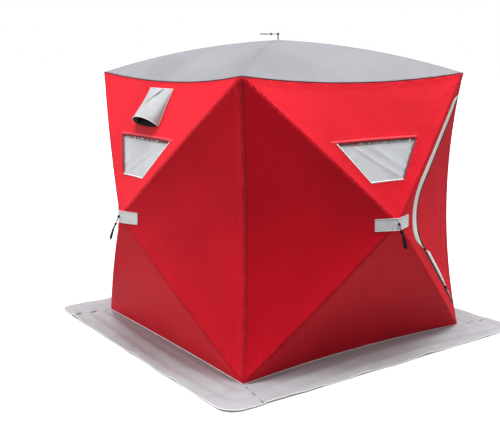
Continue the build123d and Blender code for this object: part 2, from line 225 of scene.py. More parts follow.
# ================================================================ geometry of the panels
class Panel:
    """One pop-out face: u to the right, v up and n outwards, seen from outside."""

    def __init__(self, name, origin, u, n, half_v, rise, bow, sags):
        self.name = name
        self.origin = np.array(origin)
        self.u = np.array(u)
        self.n = np.array(n)
        self.v = np.cross(n, u)
        self.half_v = half_v
        self.rise = rise
        self.bow = bow
        self.sags = sags

    def reach(self, k):
        """Half the chord's length and its distance from the hub, for gore k."""
        return (HALF, self.half_v) if k % 2 == 0 else (self.half_v, HALF)

    def world(self, points):
        points = np.asarray(points, float)
        return self.origin + points @ np.array([self.u, self.v, self.n])

    def turn(self, k, x, y):
        """From gore k's own plane to the panel's u and v."""
        c, s = [(1, 0), (0, 1), (-1, 0), (0, -1)][k]
        return x * c - y * s, x * s + y * c

    def place(self, k, x, y, z):
        """World points from gore k's own x, y and height."""
        u, v = self.turn(k, x, y)
        return self.world(np.stack([u, v, z + 0 * u], axis=-1))

    def share(self, k, x, y):
        """How far from the hub (0) to the seam (1) a point is, and how far across (-1 to 1)."""
        half, far = self.reach(k)
        sag_in = self.sags[k][0]
        straight = far - sag_in
        root = np.sqrt(np.maximum(y * y - 4 * straight * sag_in * (x / half) ** 2, 0))
        q = np.maximum((y + root) / (2 * straight), 1e-6)
        return q, x / half / q

    def height(self, k, x, y):
        """The fabric's outer face over gore k's own plane."""
        q, s = self.share(k, x, y)
        sag_deep = self.sags[k][1]
        return -q * sag_deep * (1 - s * s) + (1 - q) * self.rise + 4 * self.bow * q * (1 - q)

    def seam(self, k, count=61):
        """Gore k's seam as world points."""
        half, far = self.reach(k)
        sag_in, sag_deep = self.sags[k]
        s = np.linspace(-1, 1, count)
        dip = 1 - s * s
        return self.place(k, s * half, far - sag_in * dip, -sag_deep * dip)

    def matrix(self, z, turn):
        """A local frame over the panel's middle: its axes are u, v and n, then turned."""
        rows = Matrix([list(self.u), list(self.v), list(self.n)]).transposed().to_4x4()
        return Matrix.Translation(self.world([[0, 0, z]])[0]) @ rows @ turn


def make_panels():
    panels = []
    for i, name in enumerate(WALLS):
        turn = Matrix.Rotation(math.pi / 2 * i, 3, "Z")
        n = turn @ Vector((0, -1, 0))
        u = turn @ Vector((1, 0, 0))
        side = (SIDE_SAG, SIDE_SAG)
        sags = [(TOP_SAG_DOWN, TOP_SAG_IN), side, (0.0, BASE_SAG[name]), side]
        origin = n * HALF + Vector((0, 0, WALL_MID))
        panels.append(Panel(name, origin, u, n, WALL_HALF_H, WALL_RISE, WALL_BOW, sags))
    sags = [(TOP_SAG_IN, TOP_SAG_DOWN)] * len(GORES)
    panels.append(Panel("roof", (0, 0, CORNER_HEIGHT), (1, 0, 0), (0, 0, 1), HALF, ROOF_RISE, ROOF_BOW, sags))
    return panels


PANELS = make_panels()
PANEL = {panel.name: panel for panel in PANELS}


# ================================================================ mesh helpers
def new_object(name, points, faces, material, smooth=True):
    mesh = bpy.data.meshes.new(name)
    mesh.from_pydata([tuple(p) for p in points], [], [tuple(int(i) for i in f) for f in faces])
    mesh.update()
    obj = bpy.data.objects.new(name, mesh)
    bpy.context.scene.collection.objects.link(obj)
    mesh.materials.append(material)
    mesh.polygons.foreach_set("use_smooth", [smooth] * len(mesh.polygons))
    return obj


def apply_modifiers(obj):
    bpy.context.view_layer.update()
    solid = bpy.data.meshes.new_from_object(obj.evaluated_get(bpy.context.evaluated_depsgraph_get()))
    obj.modifiers.clear()
    obj.data = solid
    return obj


def thicken(obj, thickness, outwards=False):
    """Gives a sheet its thickness: inwards from its outer face, or outwards for trim laid on it."""
    solidify = obj.modifiers.new("thickness", "SOLIDIFY")
    solidify.thickness = thickness
    solidify.offset = 1.0 if outwards else -1.0
    return apply_modifiers(obj)


def store(mesh, name, values):
    mesh.attributes.new(name, "FLOAT", "POINT").data.foreach_set("value", np.asarray(values, np.float32))


def store_uv(mesh, flat):
    """The cloth's own flat coordinates, in metres, for the weave."""
    layer = mesh.uv_layers.new(name="cloth")
    loops = np.zeros(len(mesh.loops), np.int32)
    mesh.loops.foreach_get("vertex_index", loops)
    layer.data.foreach_set("uv", np.asarray(flat, np.float32)[loops].ravel())


TUBE_UP = (0.31, 0.17, 0.93)   # a slanting direction that no tube here starts along


def grid_faces(rows, columns, wrap=False):
    faces = []
    for i in range(rows - 1):
        for j in range(columns if wrap else columns - 1):
            near, far, after = i * columns, (i + 1) * columns, (j + 1) % columns
            faces.append((near + j, near + after, far + after, far + j))
    return faces


def end_caps(rows, sides):
    """The first and last faces of a tube of points."""
    last = (rows - 1) * sides
    return [tuple(range(sides))[::-1], tuple(last + j for j in range(sides))]


def tube_mesh(path, radius, sides=10, closed=False, flat=1.0):
    """Points and faces of a round or flattened tube along a path."""
    path = np.asarray(path, float)
    if closed:
        ahead = np.roll(path, -1, 0) - np.roll(path, 1, 0)
    else:
        ahead = np.gradient(path, axis=0)
    ahead /= np.linalg.norm(ahead, axis=1)[:, None]
    points = []
    across = np.cross(ahead[0], TUBE_UP)
    for p, a in zip(path, ahead):
        across = across - a * (across @ a)
        across /= np.linalg.norm(across)
        up = np.cross(across, a)
        for i in range(sides):
            angle = 2 * math.pi * i / sides
            points.append(p + radius * (math.cos(angle) * across + flat * math.sin(angle) * up))
    faces = grid_faces(len(path), sides, wrap=True)
    if not closed:
        return points, faces + end_caps(len(path), sides)
    last = (len(path) - 1) * sides
    faces += [(last + j, last + (j + 1) % sides, (j + 1) % sides, j) for j in range(sides)]
    return points, faces


def joined(parts):
    """One list of points and faces from several."""
    points, faces = [], []
    for some_points, some_faces in parts:
        start = len(points)
        points += [tuple(p) for p in some_points]
        faces += [tuple(i + start for i in f) for f in some_faces]
    return points, faces


def tubes(name, paths, radius, material, **shape):
    return new_object(name, *joined([tube_mesh(p, radius, **shape) for p in paths]), material)


def distance_to(points, path, closed=False):
    """Distance of each flat point from a flat path."""
    path = np.asarray(path, float)
    ends = np.roll(path, -1, 0) if closed else path[1:]
    best = np.full(len(points), 1e9)
    for a, b in zip(path, ends):
        along = b - a
        t = np.clip((points - a) @ along / max(along @ along, 1e-12), 0, 1)
        best = np.minimum(best, np.linalg.norm(points - (a + t[:, None] * along), axis=1))
    return best


def inside(points, outline):
    """Which flat points lie inside a closed outline."""
    x, y = points[:, 0], points[:, 1]
    found = np.zeros(len(points), bool)
    for (x0, y0), (x1, y1) in zip(outline, np.roll(outline, -1, 0)):
        if y0 == y1:
            continue
        crosses = (y0 > y) != (y1 > y)
        found ^= crosses & (x < (x1 - x0) * (y - y0) / (y1 - y0) + x0)
    return found


def divided(path, spacing, closed=False):
    """The path with more points, no further apart than spacing."""
    path = np.asarray(path, float)
    ends = np.roll(path, -1, 0) if closed else path[1:]
    points = []
    for a, b in zip(path, ends):
        steps = max(1, int(math.ceil(np.linalg.norm(b - a) / spacing)))
        points += [a + (b - a) * i / steps for i in range(steps)]
    if not closed:
        points.append(path[-1])
    return np.array(points)


def turning(a, b, c):
    """Above 0 where flat points a, b and c run anticlockwise."""
    one, two = b - a, c - a
    return one[..., 0] * two[..., 1] - one[..., 1] * two[..., 0]


def facing_out(points, faces):
    """The faces, all turned over if the first one runs clockwise."""
    return [f[::-1] for f in faces] if turning(*(points[i] for i in faces[0][:3])) < 0 else faces


def flat_cloth(outline, holes=(), spacing=SPACING):
    """Even triangles over a flat outline. Returns points and faces; holes are left open."""
    loops = [divided(loop, spacing, True) for loop in (outline, *holes)]
    points, edges = [], []
    for loop in loops:
        start = len(points)
        points += list(loop)
        edges += [(start + i, start + (i + 1) % len(loop)) for i in range(len(loop))]
    low, high = loops[0].min(0), loops[0].max(0)
    row_height = spacing * math.sqrt(3) / 2
    rows = np.arange(low[1], high[1] + row_height, row_height)
    columns = np.arange(low[0], high[0] + spacing, spacing)
    grid = np.array([(x + spacing / 2 * (j % 2), y) for j, y in enumerate(rows) for x in columns])
    keep = inside(grid, loops[0])
    for loop in loops:
        keep &= distance_to(grid, loop, True) > EDGE_CLEAR * spacing
    for hole in loops[1:]:
        keep &= ~inside(grid, hole)
    points += list(grid[keep])
    found = geometry.delaunay_2d_cdt([Vector(p) for p in points], edges, [], 0, 1e-7, False)
    flat = np.array([tuple(p) for p in found[0]])
    faces = np.array([f for f in found[2] if len(f) == 3])
    middles = flat[faces].mean(1)
    keep = inside(middles, loops[0])
    for hole in loops[1:]:
        keep &= ~inside(middles, hole)
    faces = faces[keep]
    turned = turning(*(flat[faces[:, i]] for i in range(3))) < 0
    faces[turned] = faces[turned][:, ::-1]
    used = np.unique(faces)
    renumber = np.full(len(flat), -1)
    renumber[used] = np.arange(len(used))
    return flat[used], renumber[faces]


def area_of(points, faces):
    points, faces = np.asarray(points), np.asarray(faces)
    a, b, c = points[faces[:, 0]], points[faces[:, 1]], points[faces[:, 2]]
    return float(np.linalg.norm(np.cross(b - a, c - a), axis=1).sum() / 2)


def uneven(t, seed):
    """A smooth, uneven wave of t, from about -1 to 1."""
    return (np.sin(t + seed) + 0.7 * np.sin(1.73 * t + 2.1 * seed) + 0.4 * np.sin(2.9 * t + 0.7 * seed)) / 2.1


def ease(t):
    t = np.clip(t, 0, 1)
    return t * t * (3 - 2 * t)


def bell(t, middle, width):
    return np.exp(-((t - middle) / width) ** 2)


# ================================================================ outlines in a gore's own plane
def gore_outline(panel, k):
    half, far = panel.reach(k)
    sag_in = panel.sags[k][0]
    s = np.linspace(1, -1, 121)
    seam = np.stack([s * half, far - sag_in * (1 - s * s)], axis=1)
    return np.vstack([[(0.0, 0.0)], seam])


def window_outline(margin=0.0):
    return np.array([
        (-WINDOW_HALF_BOTTOM - margin, WINDOW_BOTTOM - margin),
        (WINDOW_HALF_BOTTOM + margin, WINDOW_BOTTOM - margin),
        (WINDOW_HALF_TOP + margin, WINDOW_TOP + margin),
        (-WINDOW_HALF_TOP - margin, WINDOW_TOP + margin),
    ])


def vent_outline():
    low, high = VENT_SLOT_TOP - VENT_SLOT_HEIGHT, VENT_SLOT_TOP
    half = VENT_SLOT_HALF
    return np.array([(-half, low), (half, low), (half, high), (-half, high)])


def zip_line(reach):
    """The zip from the upper corner, round its turn beside the hub, to the lower corner.

    In the right gore's own plane x is down and y is away from the hub. reach is how far out
    from the hub both straight runs go."""
    centre = DOOR_APEX + DOOR_TURN_R * math.sqrt(2)
    angles = np.radians(np.linspace(-45, 45, 31))
    turn = np.stack([DOOR_TURN_R * np.sin(angles), centre - DOOR_TURN_R * np.cos(angles)], axis=1)
    out = reach - DOOR_APEX
    return np.vstack([[(-out, reach)], turn, [(out, reach)]])


def offset_path(path, distance, closed=False):
    """The path moved sideways, to the left of its direction, with mitred corners."""
    path = np.asarray(path, float)
    if closed:
        before, after = path - np.roll(path, 1, 0), np.roll(path, -1, 0) - path
    else:
        steps = np.diff(path, axis=0)
        before, after = np.vstack([steps[:1], steps]), np.vstack([steps, steps[-1:]])
    before /= np.linalg.norm(before, axis=1)[:, None]
    after /= np.linalg.norm(after, axis=1)[:, None]
    left_before = np.stack([-before[:, 1], before[:, 0]], axis=1)
    left_after = np.stack([-after[:, 1], after[:, 0]], axis=1)
    mitre = left_before + left_after
    mitre /= np.linalg.norm(mitre, axis=1)[:, None]
    stretch = 1 / np.maximum((mitre * left_after).sum(1), 0.5)
    return path + mitre * (stretch * np.asarray(distance))[:, None]


# ================================================================ folds and creases in the shell cloth
FOLD_REACH = 0.22
FOLD_HEIGHT = 0.0030
RIDGE_FADE = 0.10          # creases die out over these shares of a gore's breadth and height
SEAM_FADE = 0.06
SOFT_HEIGHT = 0.0016
FINE_HEIGHT = 0.0007
THREAD_PUCKER = 0.0022     # along the seam over a window
HUB_STAR_HEIGHT = 0.0014   # folds that fan out from the hub
HUB_STAR_REACH = 0.12
CORNER_FOLDS = {           # (panel, gore, corner side): height and reach of its tension folds
    ("front", 2, -1): (0.0100, 0.30),
    ("front", 2, 1): (0.0040, 0.26),
    ("front", 1, 1): (0.0050, 0.20),
    ("front", 0, 1): (0.0040, 0.24),
    ("left", 2, 1): (0.0050, 0.28),
    ("left", 0, -1): (0.0040, 0.26),
    ("back", 2, 1): (0.0040, 0.30),
}


def creases(panel, k, x, y):
    """How far the cloth stands off its taut surface."""
    half, far = panel.reach(k)
    q, s = panel.share(k, x, y)
    seed = 1.7 * WALLS.index(panel.name) + 2.3 * k + 0.4 if panel.name != "roof" else 9.1 + 1.9 * k
    rim = ease((1 - np.abs(s)) / RIDGE_FADE) * ease((1 - q) / SEAM_FADE)
    soft = SOFT_HEIGHT * uneven(x * 9, seed) * uneven(y * 7, seed + 1)
    out = soft + FINE_HEIGHT * uneven(x * 31 + y * 6, seed + 2) * uneven(y * 23 - x * 4, seed + 3)
    for side in (-1, 1):
        high, far_reach = CORNER_FOLDS.get((panel.name, k, side), (FOLD_HEIGHT, FOLD_REACH))
        dx, dy = half - side * x, far - y
        r = np.hypot(dx, dy)
        angle = np.arctan2(dy, np.maximum(dx, 1e-6))
        wave = np.sin(15 * angle + 1.2 * np.sin(9 * angle + seed) + seed)
        out = out + high * wave * np.exp(-r / far_reach) * r / (r + 0.06)
    r = np.hypot(x, y)
    star = np.sin(30 * np.arctan2(x, y) + seed)
    out = out + HUB_STAR_HEIGHT * star * np.exp(-r / HUB_STAR_REACH) * r / (r + 0.04)
    if k == 0 and panel.name != "roof":
        above = y - WINDOW_TOP
        over = ease((WINDOW_HALF_TOP + 0.06 - np.abs(x)) / 0.08) * np.exp(-np.abs(above) / 0.035)
        out = out + THREAD_PUCKER * uneven(x * 105, seed) * over * ease(np.abs(above) / 0.012)
    return out * rim


PUCKER_PITCH = 0.036
PUCKER_WIDTH = 0.085
PUCKER_HEIGHT = 0.0085
PLAIN_PUCKERS = (0.15, 0.18, True)
PUCKERS = {                # (panel, gore, corner side): strength, reach, and whether they run level
    ("front", 2, -1): (1.0, 0.26, True),
    ("front", 2, 1): (0.4, 0.22, True),
    ("left", 2, 1): (0.5, 0.24, True),
    ("back", 2, 1): (0.8, 0.26, True),
    ("front", 0, -1): (0.6, 0.20, False),
    ("left", 0, 1): (0.5, 0.20, False),
}


def puckers(panel, k, x, y, ridge):
    """Where a ridge seam gathers the cloth near a corner, and the distance across its gathers."""
    half, far = panel.reach(k)
    mask, run = 0 * x, y
    for side in (-1, 1):
        strength, reach, level = PUCKERS.get((panel.name, k, side), PLAIN_PUCKERS)
        r = np.hypot(half - side * x, far - y)
        mask = mask + strength * np.exp(-ridge / PUCKER_WIDTH) * np.exp(-(r / reach) ** 2)
        run = run if level else x
    return mask, run


def cloth_height(panel, k, x, y):
    """The creased cloth's outer face over gore k's own plane."""
    return panel.height(k, x, y) + creases(panel, k, x, y)


# ================================================================ materials
MIX_A, MIX_B, MIXED = 6, 7, 2      # the colour sockets of a Mix node


class Shader:
    """A small helper for building one material's nodes."""

    def __init__(self, name, colour, roughness, specular=0.5):
        self.material = bpy.data.materials.new(name)
        self.material.use_nodes = True
        self.nodes = self.material.node_tree.nodes
        self.links = self.material.node_tree.links
        self.out = self.nodes["Principled BSDF"]
        self.out.inputs["Base Color"].default_value = (*colour, 1)
        self.out.inputs["Roughness"].default_value = roughness
        self.out.inputs["Specular IOR Level"].default_value = specular
        self.colour = colour
        self.base = None
        self.normal = None

    def node(self, kind, links=None, **settings):
        node = self.nodes.new("ShaderNode" + kind)
        for key, value in settings.items():
            if hasattr(node, key):
                setattr(node, key, value)
            else:
                node.inputs[key].default_value = value
        for key, socket in (links or {}).items():
            self.links.new(socket, node.inputs[key])
        return node

    def math(self, operation, *values):
        node = self.node("Math", operation=operation)
        for i, value in enumerate(values):
            if isinstance(value, (int, float)):
                node.inputs[i].default_value = value
            else:
                self.links.new(value, node.inputs[i])
        return node.outputs[0]

    def place(self):
        return self.node("TexCoord").outputs["Object"]

    def flat(self):
        return self.node("UVMap", uv_map="cloth").outputs["UV"]

    def value(self, name):
        return self.node("Attribute", attribute_name=name).outputs["Fac"]

    def noise(self, scale, detail=2.0, vector=None):
        node = self.node("TexNoise", {"Vector": vector or self.place()}, Scale=scale, Detail=detail)
        return node.outputs["Fac"]

    def mixed(self, factor):
        """A node that mixes colours, whose result becomes the base colour."""
        mix = self.node("Mix", {"Factor": factor}, data_type="RGBA", blend_type="MIX")
        source, self.base = self.base, mix.outputs[MIXED]
        self.links.new(self.base, self.out.inputs["Base Color"])
        return mix, source

    def vary(self, factor, amount, low=0.35, high=0.65):
        """Darkens and lightens the base colour by a share, following a 0 to 1 pattern."""
        ramp = self.node("MapRange", {"Value": factor}, **{"From Min": low, "From Max": high})
        mix, source = self.mixed(ramp.outputs[0])
        for slot, scale in ((MIX_A, 1 - amount), (MIX_B, 1 + amount)):
            if source is None:
                mix.inputs[slot].default_value = (*[min(1, c * scale) for c in self.colour], 1)
            else:
                scaled = self.node("VectorMath", {0: source}, operation="SCALE")
                scaled.inputs["Scale"].default_value = scale
                self.links.new(scaled.outputs[0], mix.inputs[slot])

    def paint(self, mask, colour):
        """Another colour where mask is 1."""
        mix, source = self.mixed(mask)
        if source is None:
            mix.inputs[MIX_A].default_value = (*self.colour, 1)
        else:
            self.links.new(source, mix.inputs[MIX_A])
        mix.inputs[MIX_B].default_value = (*colour, 1)

    def bump(self, height, distance, strength=1.0):
        node = self.node("Bump", {"Height": height}, Strength=strength, Distance=distance)
        if self.normal is not None:
            self.links.new(self.normal, node.inputs["Normal"])
        self.normal = node.outputs["Normal"]
        self.links.new(self.normal, self.out.inputs["Normal"])

    def weave(self, vector, pitch):
        """Threads over and under in both directions."""
        heights = []
        for direction in ("X", "Y"):
            wave = self.node("TexWave", {"Vector": vector}, bands_direction=direction,
                             Scale=0.314 / pitch, Distortion=0.35)   # a wave is 0.314 / Scale long
            heights.append(wave.outputs["Fac"])
        return self.math("MULTIPLY", *heights)

    def waves(self, along, pitch):
        """A sine wave of the given pitch."""
        return self.math("SINE", self.math("MULTIPLY", along, 2 * math.pi / pitch))

    def stitches(self, distance, rows, along, pitch=0.0045, width=0.0007):
        """A mask of thread dashes in rows at given distances from an edge."""
        mask = None
        for row in rows:
            off = self.math("ABSOLUTE", self.math("SUBTRACT", distance, row))
            line = self.math("LESS_THAN", off, width)
            mask = line if mask is None else self.math("MAXIMUM", mask, line)
        dash = self.math("GREATER_THAN", self.waves(along, pitch), -0.4)
        return self.math("MULTIPLY", mask, dash)


def shell_cloth(name, colour, thread, sheen, sheen_tint, roughness=0.52, specular=0.35):
    """Coated woven shell fabric, with its seam allowances, rows of stitches and fine crumples."""
    shader = Shader(name, colour, roughness, specular)
    shader.out.inputs["Sheen Weight"].default_value = sheen
    shader.out.inputs["Sheen Roughness"].default_value = 0.45
    shader.out.inputs["Sheen Tint"].default_value = (*sheen_tint, 1)
    flat = shader.flat()
    ridge, hem = shader.value("ridge"), shader.value("hem")
    shader.vary(shader.noise(2.3, 3.0), 0.07)
    shader.vary(shader.noise(320.0, 2.0), 0.05, 0.3, 0.7)
    parts = shader.node("SeparateXYZ", {"Vector": flat})
    along = shader.math("ADD", shader.math("ABSOLUTE", parts.outputs[0]),
                        shader.math("MULTIPLY", parts.outputs[1], 0.7))
    edge = shader.math("MINIMUM", ridge, hem)
    stitches = shader.stitches(edge, (0.007, 0.0125), along)
    shader.paint(stitches, thread)
    shader.bump(shader.weave(flat, 0.0011), 0.00012, 0.6)
    shader.bump(shader.noise(26.0, 4.0), 0.0035, 0.35)
    shader.bump(shader.noise(7.0, 3.0), 0.010, 0.35)
    near = shader.math("SUBTRACT", 1.0, shader.math("MULTIPLY", hem, 22.0))
    drawn = shader.math("MULTIPLY", shader.math("MAXIMUM", near, 0.0), shader.noise(55.0, 2.0))
    shader.bump(drawn, 0.006, 0.8)
    drift = shader.math("MULTIPLY", shader.noise(5.0, 2.0), 0.07)
    gathers = shader.waves(shader.math("ADD", shader.value("pucker_run"), drift), PUCKER_PITCH)
    shader.bump(shader.math("MULTIPLY", gathers, shader.value("pucker")), PUCKER_HEIGHT)
    fold = shader.math("LESS_THAN", edge, 0.0105)
    shader.bump(shader.math("SUBTRACT", fold, stitches), 0.0006, 0.8)
    return shader.material


def light_cloth(name, colour, roughness=0.55, pitch=0.0010, crumple=0.004, specular=0.35, sheen=0.05):
    """Plain light fabric on small pieces, woven in the piece's own place."""
    shader = Shader(name, colour, roughness, specular)
    shader.out.inputs["Sheen Weight"].default_value = sheen
    shader.vary(shader.noise(9.0, 3.0), 0.05)
    shader.vary(shader.noise(420.0, 2.0), 0.06, 0.3, 0.7)
    shader.bump(shader.weave(shader.place(), pitch), 0.00012, 0.5)
    shader.bump(shader.noise(38.0, 3.0), crumple, 0.35)
    return shader.material


def webbing(name, colour):
    """Ribbed webbing and braided cord."""
    shader = Shader(name, colour, 0.75, 0.15)
    shader.vary(shader.noise(120.0, 2.0), 0.25)
    ribs = shader.node("TexWave", {"Vector": shader.place()}, bands_direction="DIAGONAL",
                       Scale=130.0, Distortion=0.6)
    shader.bump(ribs.outputs["Fac"], 0.0005, 0.8)
    shader.bump(shader.noise(900.0, 2.0), 0.0002, 0.5)
    return shader.material


def moulded(name, colour, roughness, grain=650.0, streak=None):
    """Moulded plastic or pultruded rod, with a fine grain, scuffs and rubbed spots."""
    shader = Shader(name, colour, roughness, 0.45)
    shader.vary(shader.noise(40.0, 4.0), 0.22)
    stretched = shader.place()
    if streak:
        stretched = shader.node("Mapping", {"Vector": stretched}, Scale=streak).outputs[0]
    shader.bump(shader.noise(grain, 3.0, stretched), 0.0002, 0.5)
    span = {"From Min": 0.4, "From Max": 0.7, "To Min": roughness - 0.08, "To Max": roughness + 0.18}
    scuffs = shader.node("MapRange", {"Value": shader.noise(14.0, 5.0)}, **span)
    shader.links.new(scuffs.outputs[0], shader.out.inputs["Roughness"])
    return shader.material


def rubbed_metal(name, colour, bare):
    """Painted die-cast metal, rubbed bare in spots."""
    shader = Shader(name, colour, 0.38, 0.5)
    worn = shader.math("GREATER_THAN", shader.noise(260.0, 4.0), 0.62)
    shader.paint(worn, bare)
    shader.links.new(worn, shader.out.inputs["Metallic"])
    shader.bump(shader.noise(500.0, 2.0), 0.0001, 0.5)
    return shader.material


def clear_film(name):
    """Clear plastic window film."""
    shader = Shader(name, (0.86, 0.88, 0.90), 0.14, 0.5)
    shader.out.inputs["Alpha"].default_value = 0.10
    shader.bump(shader.noise(11.0, 3.0), 0.004, 0.3)
    return shader.material


def netting(name):
    """Fine black net."""
    shader = Shader(name, (0.012, 0.012, 0.014), 0.7, 0.2)
    shader.vary(shader.weave(shader.place(), 0.0016), 0.6, 0.1, 0.7)
    shader.bump(shader.weave(shader.place(), 0.0016), 0.0005, 1.0)
    return shader.material


RED = (0.76, 0.007, 0.022)
RED_THREAD = (0.45, 0.008, 0.016)
GREY = (0.240, 0.240, 0.262)
PALE = (0.80, 0.80, 0.80)
CREAM = (0.95, 0.92, 0.88)
BLACK = (0.012, 0.012, 0.013)

wall_cloth = shell_cloth("wall_cloth", RED, RED_THREAD, 0.04, (1.0, 0.28, 0.38), specular=0.13)
roof_cloth = shell_cloth("roof_cloth", GREY, (0.13, 0.13, 0.14), 0.05, (1, 1, 1), roughness=0.6)
skirt_cloth = light_cloth("skirt_cloth", (0.330, 0.340, 0.360), 0.6, 0.0011, 0.006)
blind_cloth = light_cloth("blind_cloth", (0.52, 0.53, 0.56), 0.38, 0.0009, 0.006)
hood_cloth = light_cloth("hood_cloth", (0.44, 0.45, 0.47), 0.5, 0.0010, 0.005)
patch_cloth = light_cloth("patch_cloth", (0.88, 0.89, 0.91), 0.42, 0.0008, 0.003, specular=0.6)
pocket_cloth = light_cloth("pocket_cloth", (0.05, 0.05, 0.055), 0.6, 0.0012, 0.002)
hem_cloth = light_cloth("hem_cloth", PALE, 0.55, 0.0008, 0.002)
ribbon_cloth = light_cloth("ribbon_cloth", CREAM, 0.5, 0.0008, 0.002)
binding_white = light_cloth("binding_white", (0.92, 0.92, 0.93), 0.5, 0.0008, 0.002)
red_binding = light_cloth("red_binding", (0.50, 0.012, 0.026), 0.5, 0.0008, 0.002)
seam_cloth = light_cloth("seam_cloth", (0.80, 0.020, 0.045), 0.45, 0.0008, 0.002, specular=0.5)
dark_binding = light_cloth("dark_binding", (0.055, 0.012, 0.018), 0.55, 0.0008, 0.002)
# Black for the zip's tapes and teeth, and also as painted shadow in a band at each window's edge.
black_tape = light_cloth("black_tape", BLACK, 0.6, 0.0008, 0.001)
black_webbing = webbing("black_webbing", (0.005, 0.005, 0.006))
film = clear_film("window_film")
net = netting("vent_net")
nylon = moulded("hub_nylon", (0.018, 0.018, 0.020), 0.48)
rod_black = moulded("pole_rod", (0.016, 0.016, 0.018), 0.30, 300.0, (30, 30, 30))
slider_metal = rubbed_metal("slider_metal", (0.02, 0.02, 0.022), (0.35, 0.35, 0.36))


# ================================================================ laying things on the fabric
BAND_EDGE = -0.0010        # how far a ribbon reaches past its path


def on_cloth(panel, k, flat, lift):
    """World points of flat points of gore k, at the cloth's height plus lift."""
    x, y = flat[:, 0], flat[:, 1]
    return panel.place(k, x, y, cloth_height(panel, k, x, y) + lift)


def lay(panel, k, flat, faces, name, material, lift, thickness, outwards=False):
    """An object over gore k from flat points, at the cloth's height plus lift."""
    obj = new_object(name, on_cloth(panel, k, flat, lift), faces, material)
    store_uv(obj.data, flat)
    return thicken(obj, thickness, outwards)


def band(panel, k, path, right, name, material, lift, thickness):
    """A flat ribbon on the fabric, along a path in the gore's own plane, and over the path's edge."""
    rows = 3
    lines = [offset_path(path, BAND_EDGE + (right - BAND_EDGE) * i / (rows - 1)) for i in range(rows)]
    flat = np.vstack(lines)
    faces = facing_out(flat, grid_faces(rows, len(path)))
    return lay(panel, k, flat, faces, name, material, lift, thickness, outwards=True)


def bend_gore(obj, panel, k):
    """Ties cloth to its seam on one side and to its moving gore on the other."""
    seam = panel.place(k, 0.0, panel.reach(k)[1], 0.0)
    slant = panel.place(k, 0.0, 0.0, panel.rise) - seam
    start, end = seam + slant * BEND_START, seam + slant * BEND_END
    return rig.blend(obj, "frame", f"{panel.name}_gore_{GORES[k]}", start=start, end=end)


def bend_door(obj, panel):
    """Ties cloth of the door to the fold line on one side and to the flap on the other."""
    start = panel.world([[DOOR_FOLD, 0, 0]])[0]
    end = panel.world([[DOOR_FOLD - DOOR_BEND, 0, 0]])[0]
    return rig.blend(obj, f"{panel.name}_gore_right", f"{panel.name}_door_flap", start=start, end=end)


# ================================================================ the shell's gores
SMALLEST_SHARE = 0.3
ZIP_SEAM = 0.87            # how far out the zip's seam allowance follows it


def make_gore(panel, k, name, outline, holes=(), edges=()):
    """One gore's cloth. edges are more lines that its seam allowance follows."""
    flat, faces = flat_cloth(outline, holes)
    x, y = flat[:, 0], flat[:, 1]
    points = on_cloth(panel, k, flat, 0.0)
    obj = new_object(name, points, faces, roof_cloth if panel.name == "roof" else wall_cloth)
    half, far = panel.reach(k)
    store_uv(obj.data, flat)
    ridge = (y * half - np.abs(x) * far) / math.hypot(half, far)
    store(obj.data, "ridge", np.maximum(ridge, 0))
    seam = gore_outline(panel, k)[1:]
    hem = distance_to(flat, seam[::6])
    for hole in holes:
        hem = np.minimum(hem, distance_to(flat, hole, True))
    for edge in edges:
        hem = np.minimum(hem, distance_to(flat, edge))
    store(obj.data, "hem", hem)
    mask, run = puckers(panel, k, x, y, np.maximum(ridge, 0))
    store(obj.data, "pucker", mask)
    store(obj.data, "pucker_run", run)
    surface = area_of(points, faces)
    thicken(obj, CLOTH_T)
    return obj, surface


def declare_gore(obj, panel, k, surface):
    """A gore's slot and sheet. Its area is at least the smallest share of its size a sheet may have."""
    half, far = panel.reach(k)
    flat = (2 * half, math.hypot(far, panel.rise))
    surface = max(surface, SMALLEST_SHARE * flat[0] * flat[1])
    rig.slot(obj, "roof_grey" if panel.name == "roof" else "wall_red")
    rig.sheet(obj, flat=flat, held="stretched", rests_on=("seam_piping",), area=surface)


def make_shell():
    """Every gore's cloth, with its openings, and the door flap."""
    for panel in PANELS:
        for k, side in enumerate(GORES):
            node = f"{panel.name}_gore_{side}"
            outline = gore_outline(panel, k)
            holes, edges = [], []
            if panel.name != "roof" and k == 0:
                holes.append(window_outline())
            if panel.name == "left" and k == 0:
                holes.append(vent_outline())
            if panel.name == "front" and k == 3:
                holes.append(zip_line(DOOR_FOLD))
                edges.append(zip_line(ZIP_SEAM))
            obj, surface = make_gore(panel, k, f"{node}_cloth", outline, holes, edges)
            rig.replaces(obj, node)
            declare_gore(obj, panel, k, surface)
            bend_gore(obj, panel, k)
    front = PANEL["front"]
    outline = zip_line(DOOR_FOLD)
    flap, surface = make_gore(front, 3, "front_door_flap_cloth", outline, (), (outline,))
    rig.replaces(flap, "front_door_flap")
    height = DOOR_FOLD - DOOR_APEX
    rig.slot(flap, "wall_red_door")
    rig.sheet(flap, flat=(2 * height, height), held="stretched", rests_on=("front_gore_right_cloth",),
             area=surface)
    bend_door(flap, front)


# ================================================================ seams, pockets and hub patches
PIPING_R = 0.0030
ROOF_PIPING_R = 0.0028
BASE_BINDING_R = 0.0055
PATCH_HEM_R = 0.0020


def make_piping():
    """Corner, top and base seams of the four walls."""
    walls = PANELS[:-1]
    red, dark, base = ([panel.seam(k) for panel in walls] for k in (3, 0, 2))
    piping = tubes("seam_piping", red, PIPING_R, red_binding)
    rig.replaces(piping, "seam_bands")
    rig.slot(piping, "seam_red")
    roof_piping = tubes("roof_piping", dark, ROOF_PIPING_R, dark_binding)
    base_lines = [path + (0, 0, 0.001) for path in base]
    base_binding = tubes("base_binding", base_lines, BASE_BINDING_R, binding_white, flat=0.6)
    for obj in (piping, roof_piping, base_binding):
        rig.ride(obj, "frame")


POCKET_INSET = 0.009       # inside the sagging seam
POCKET_DEPTH = 0.0035      # behind the cloth's outer face


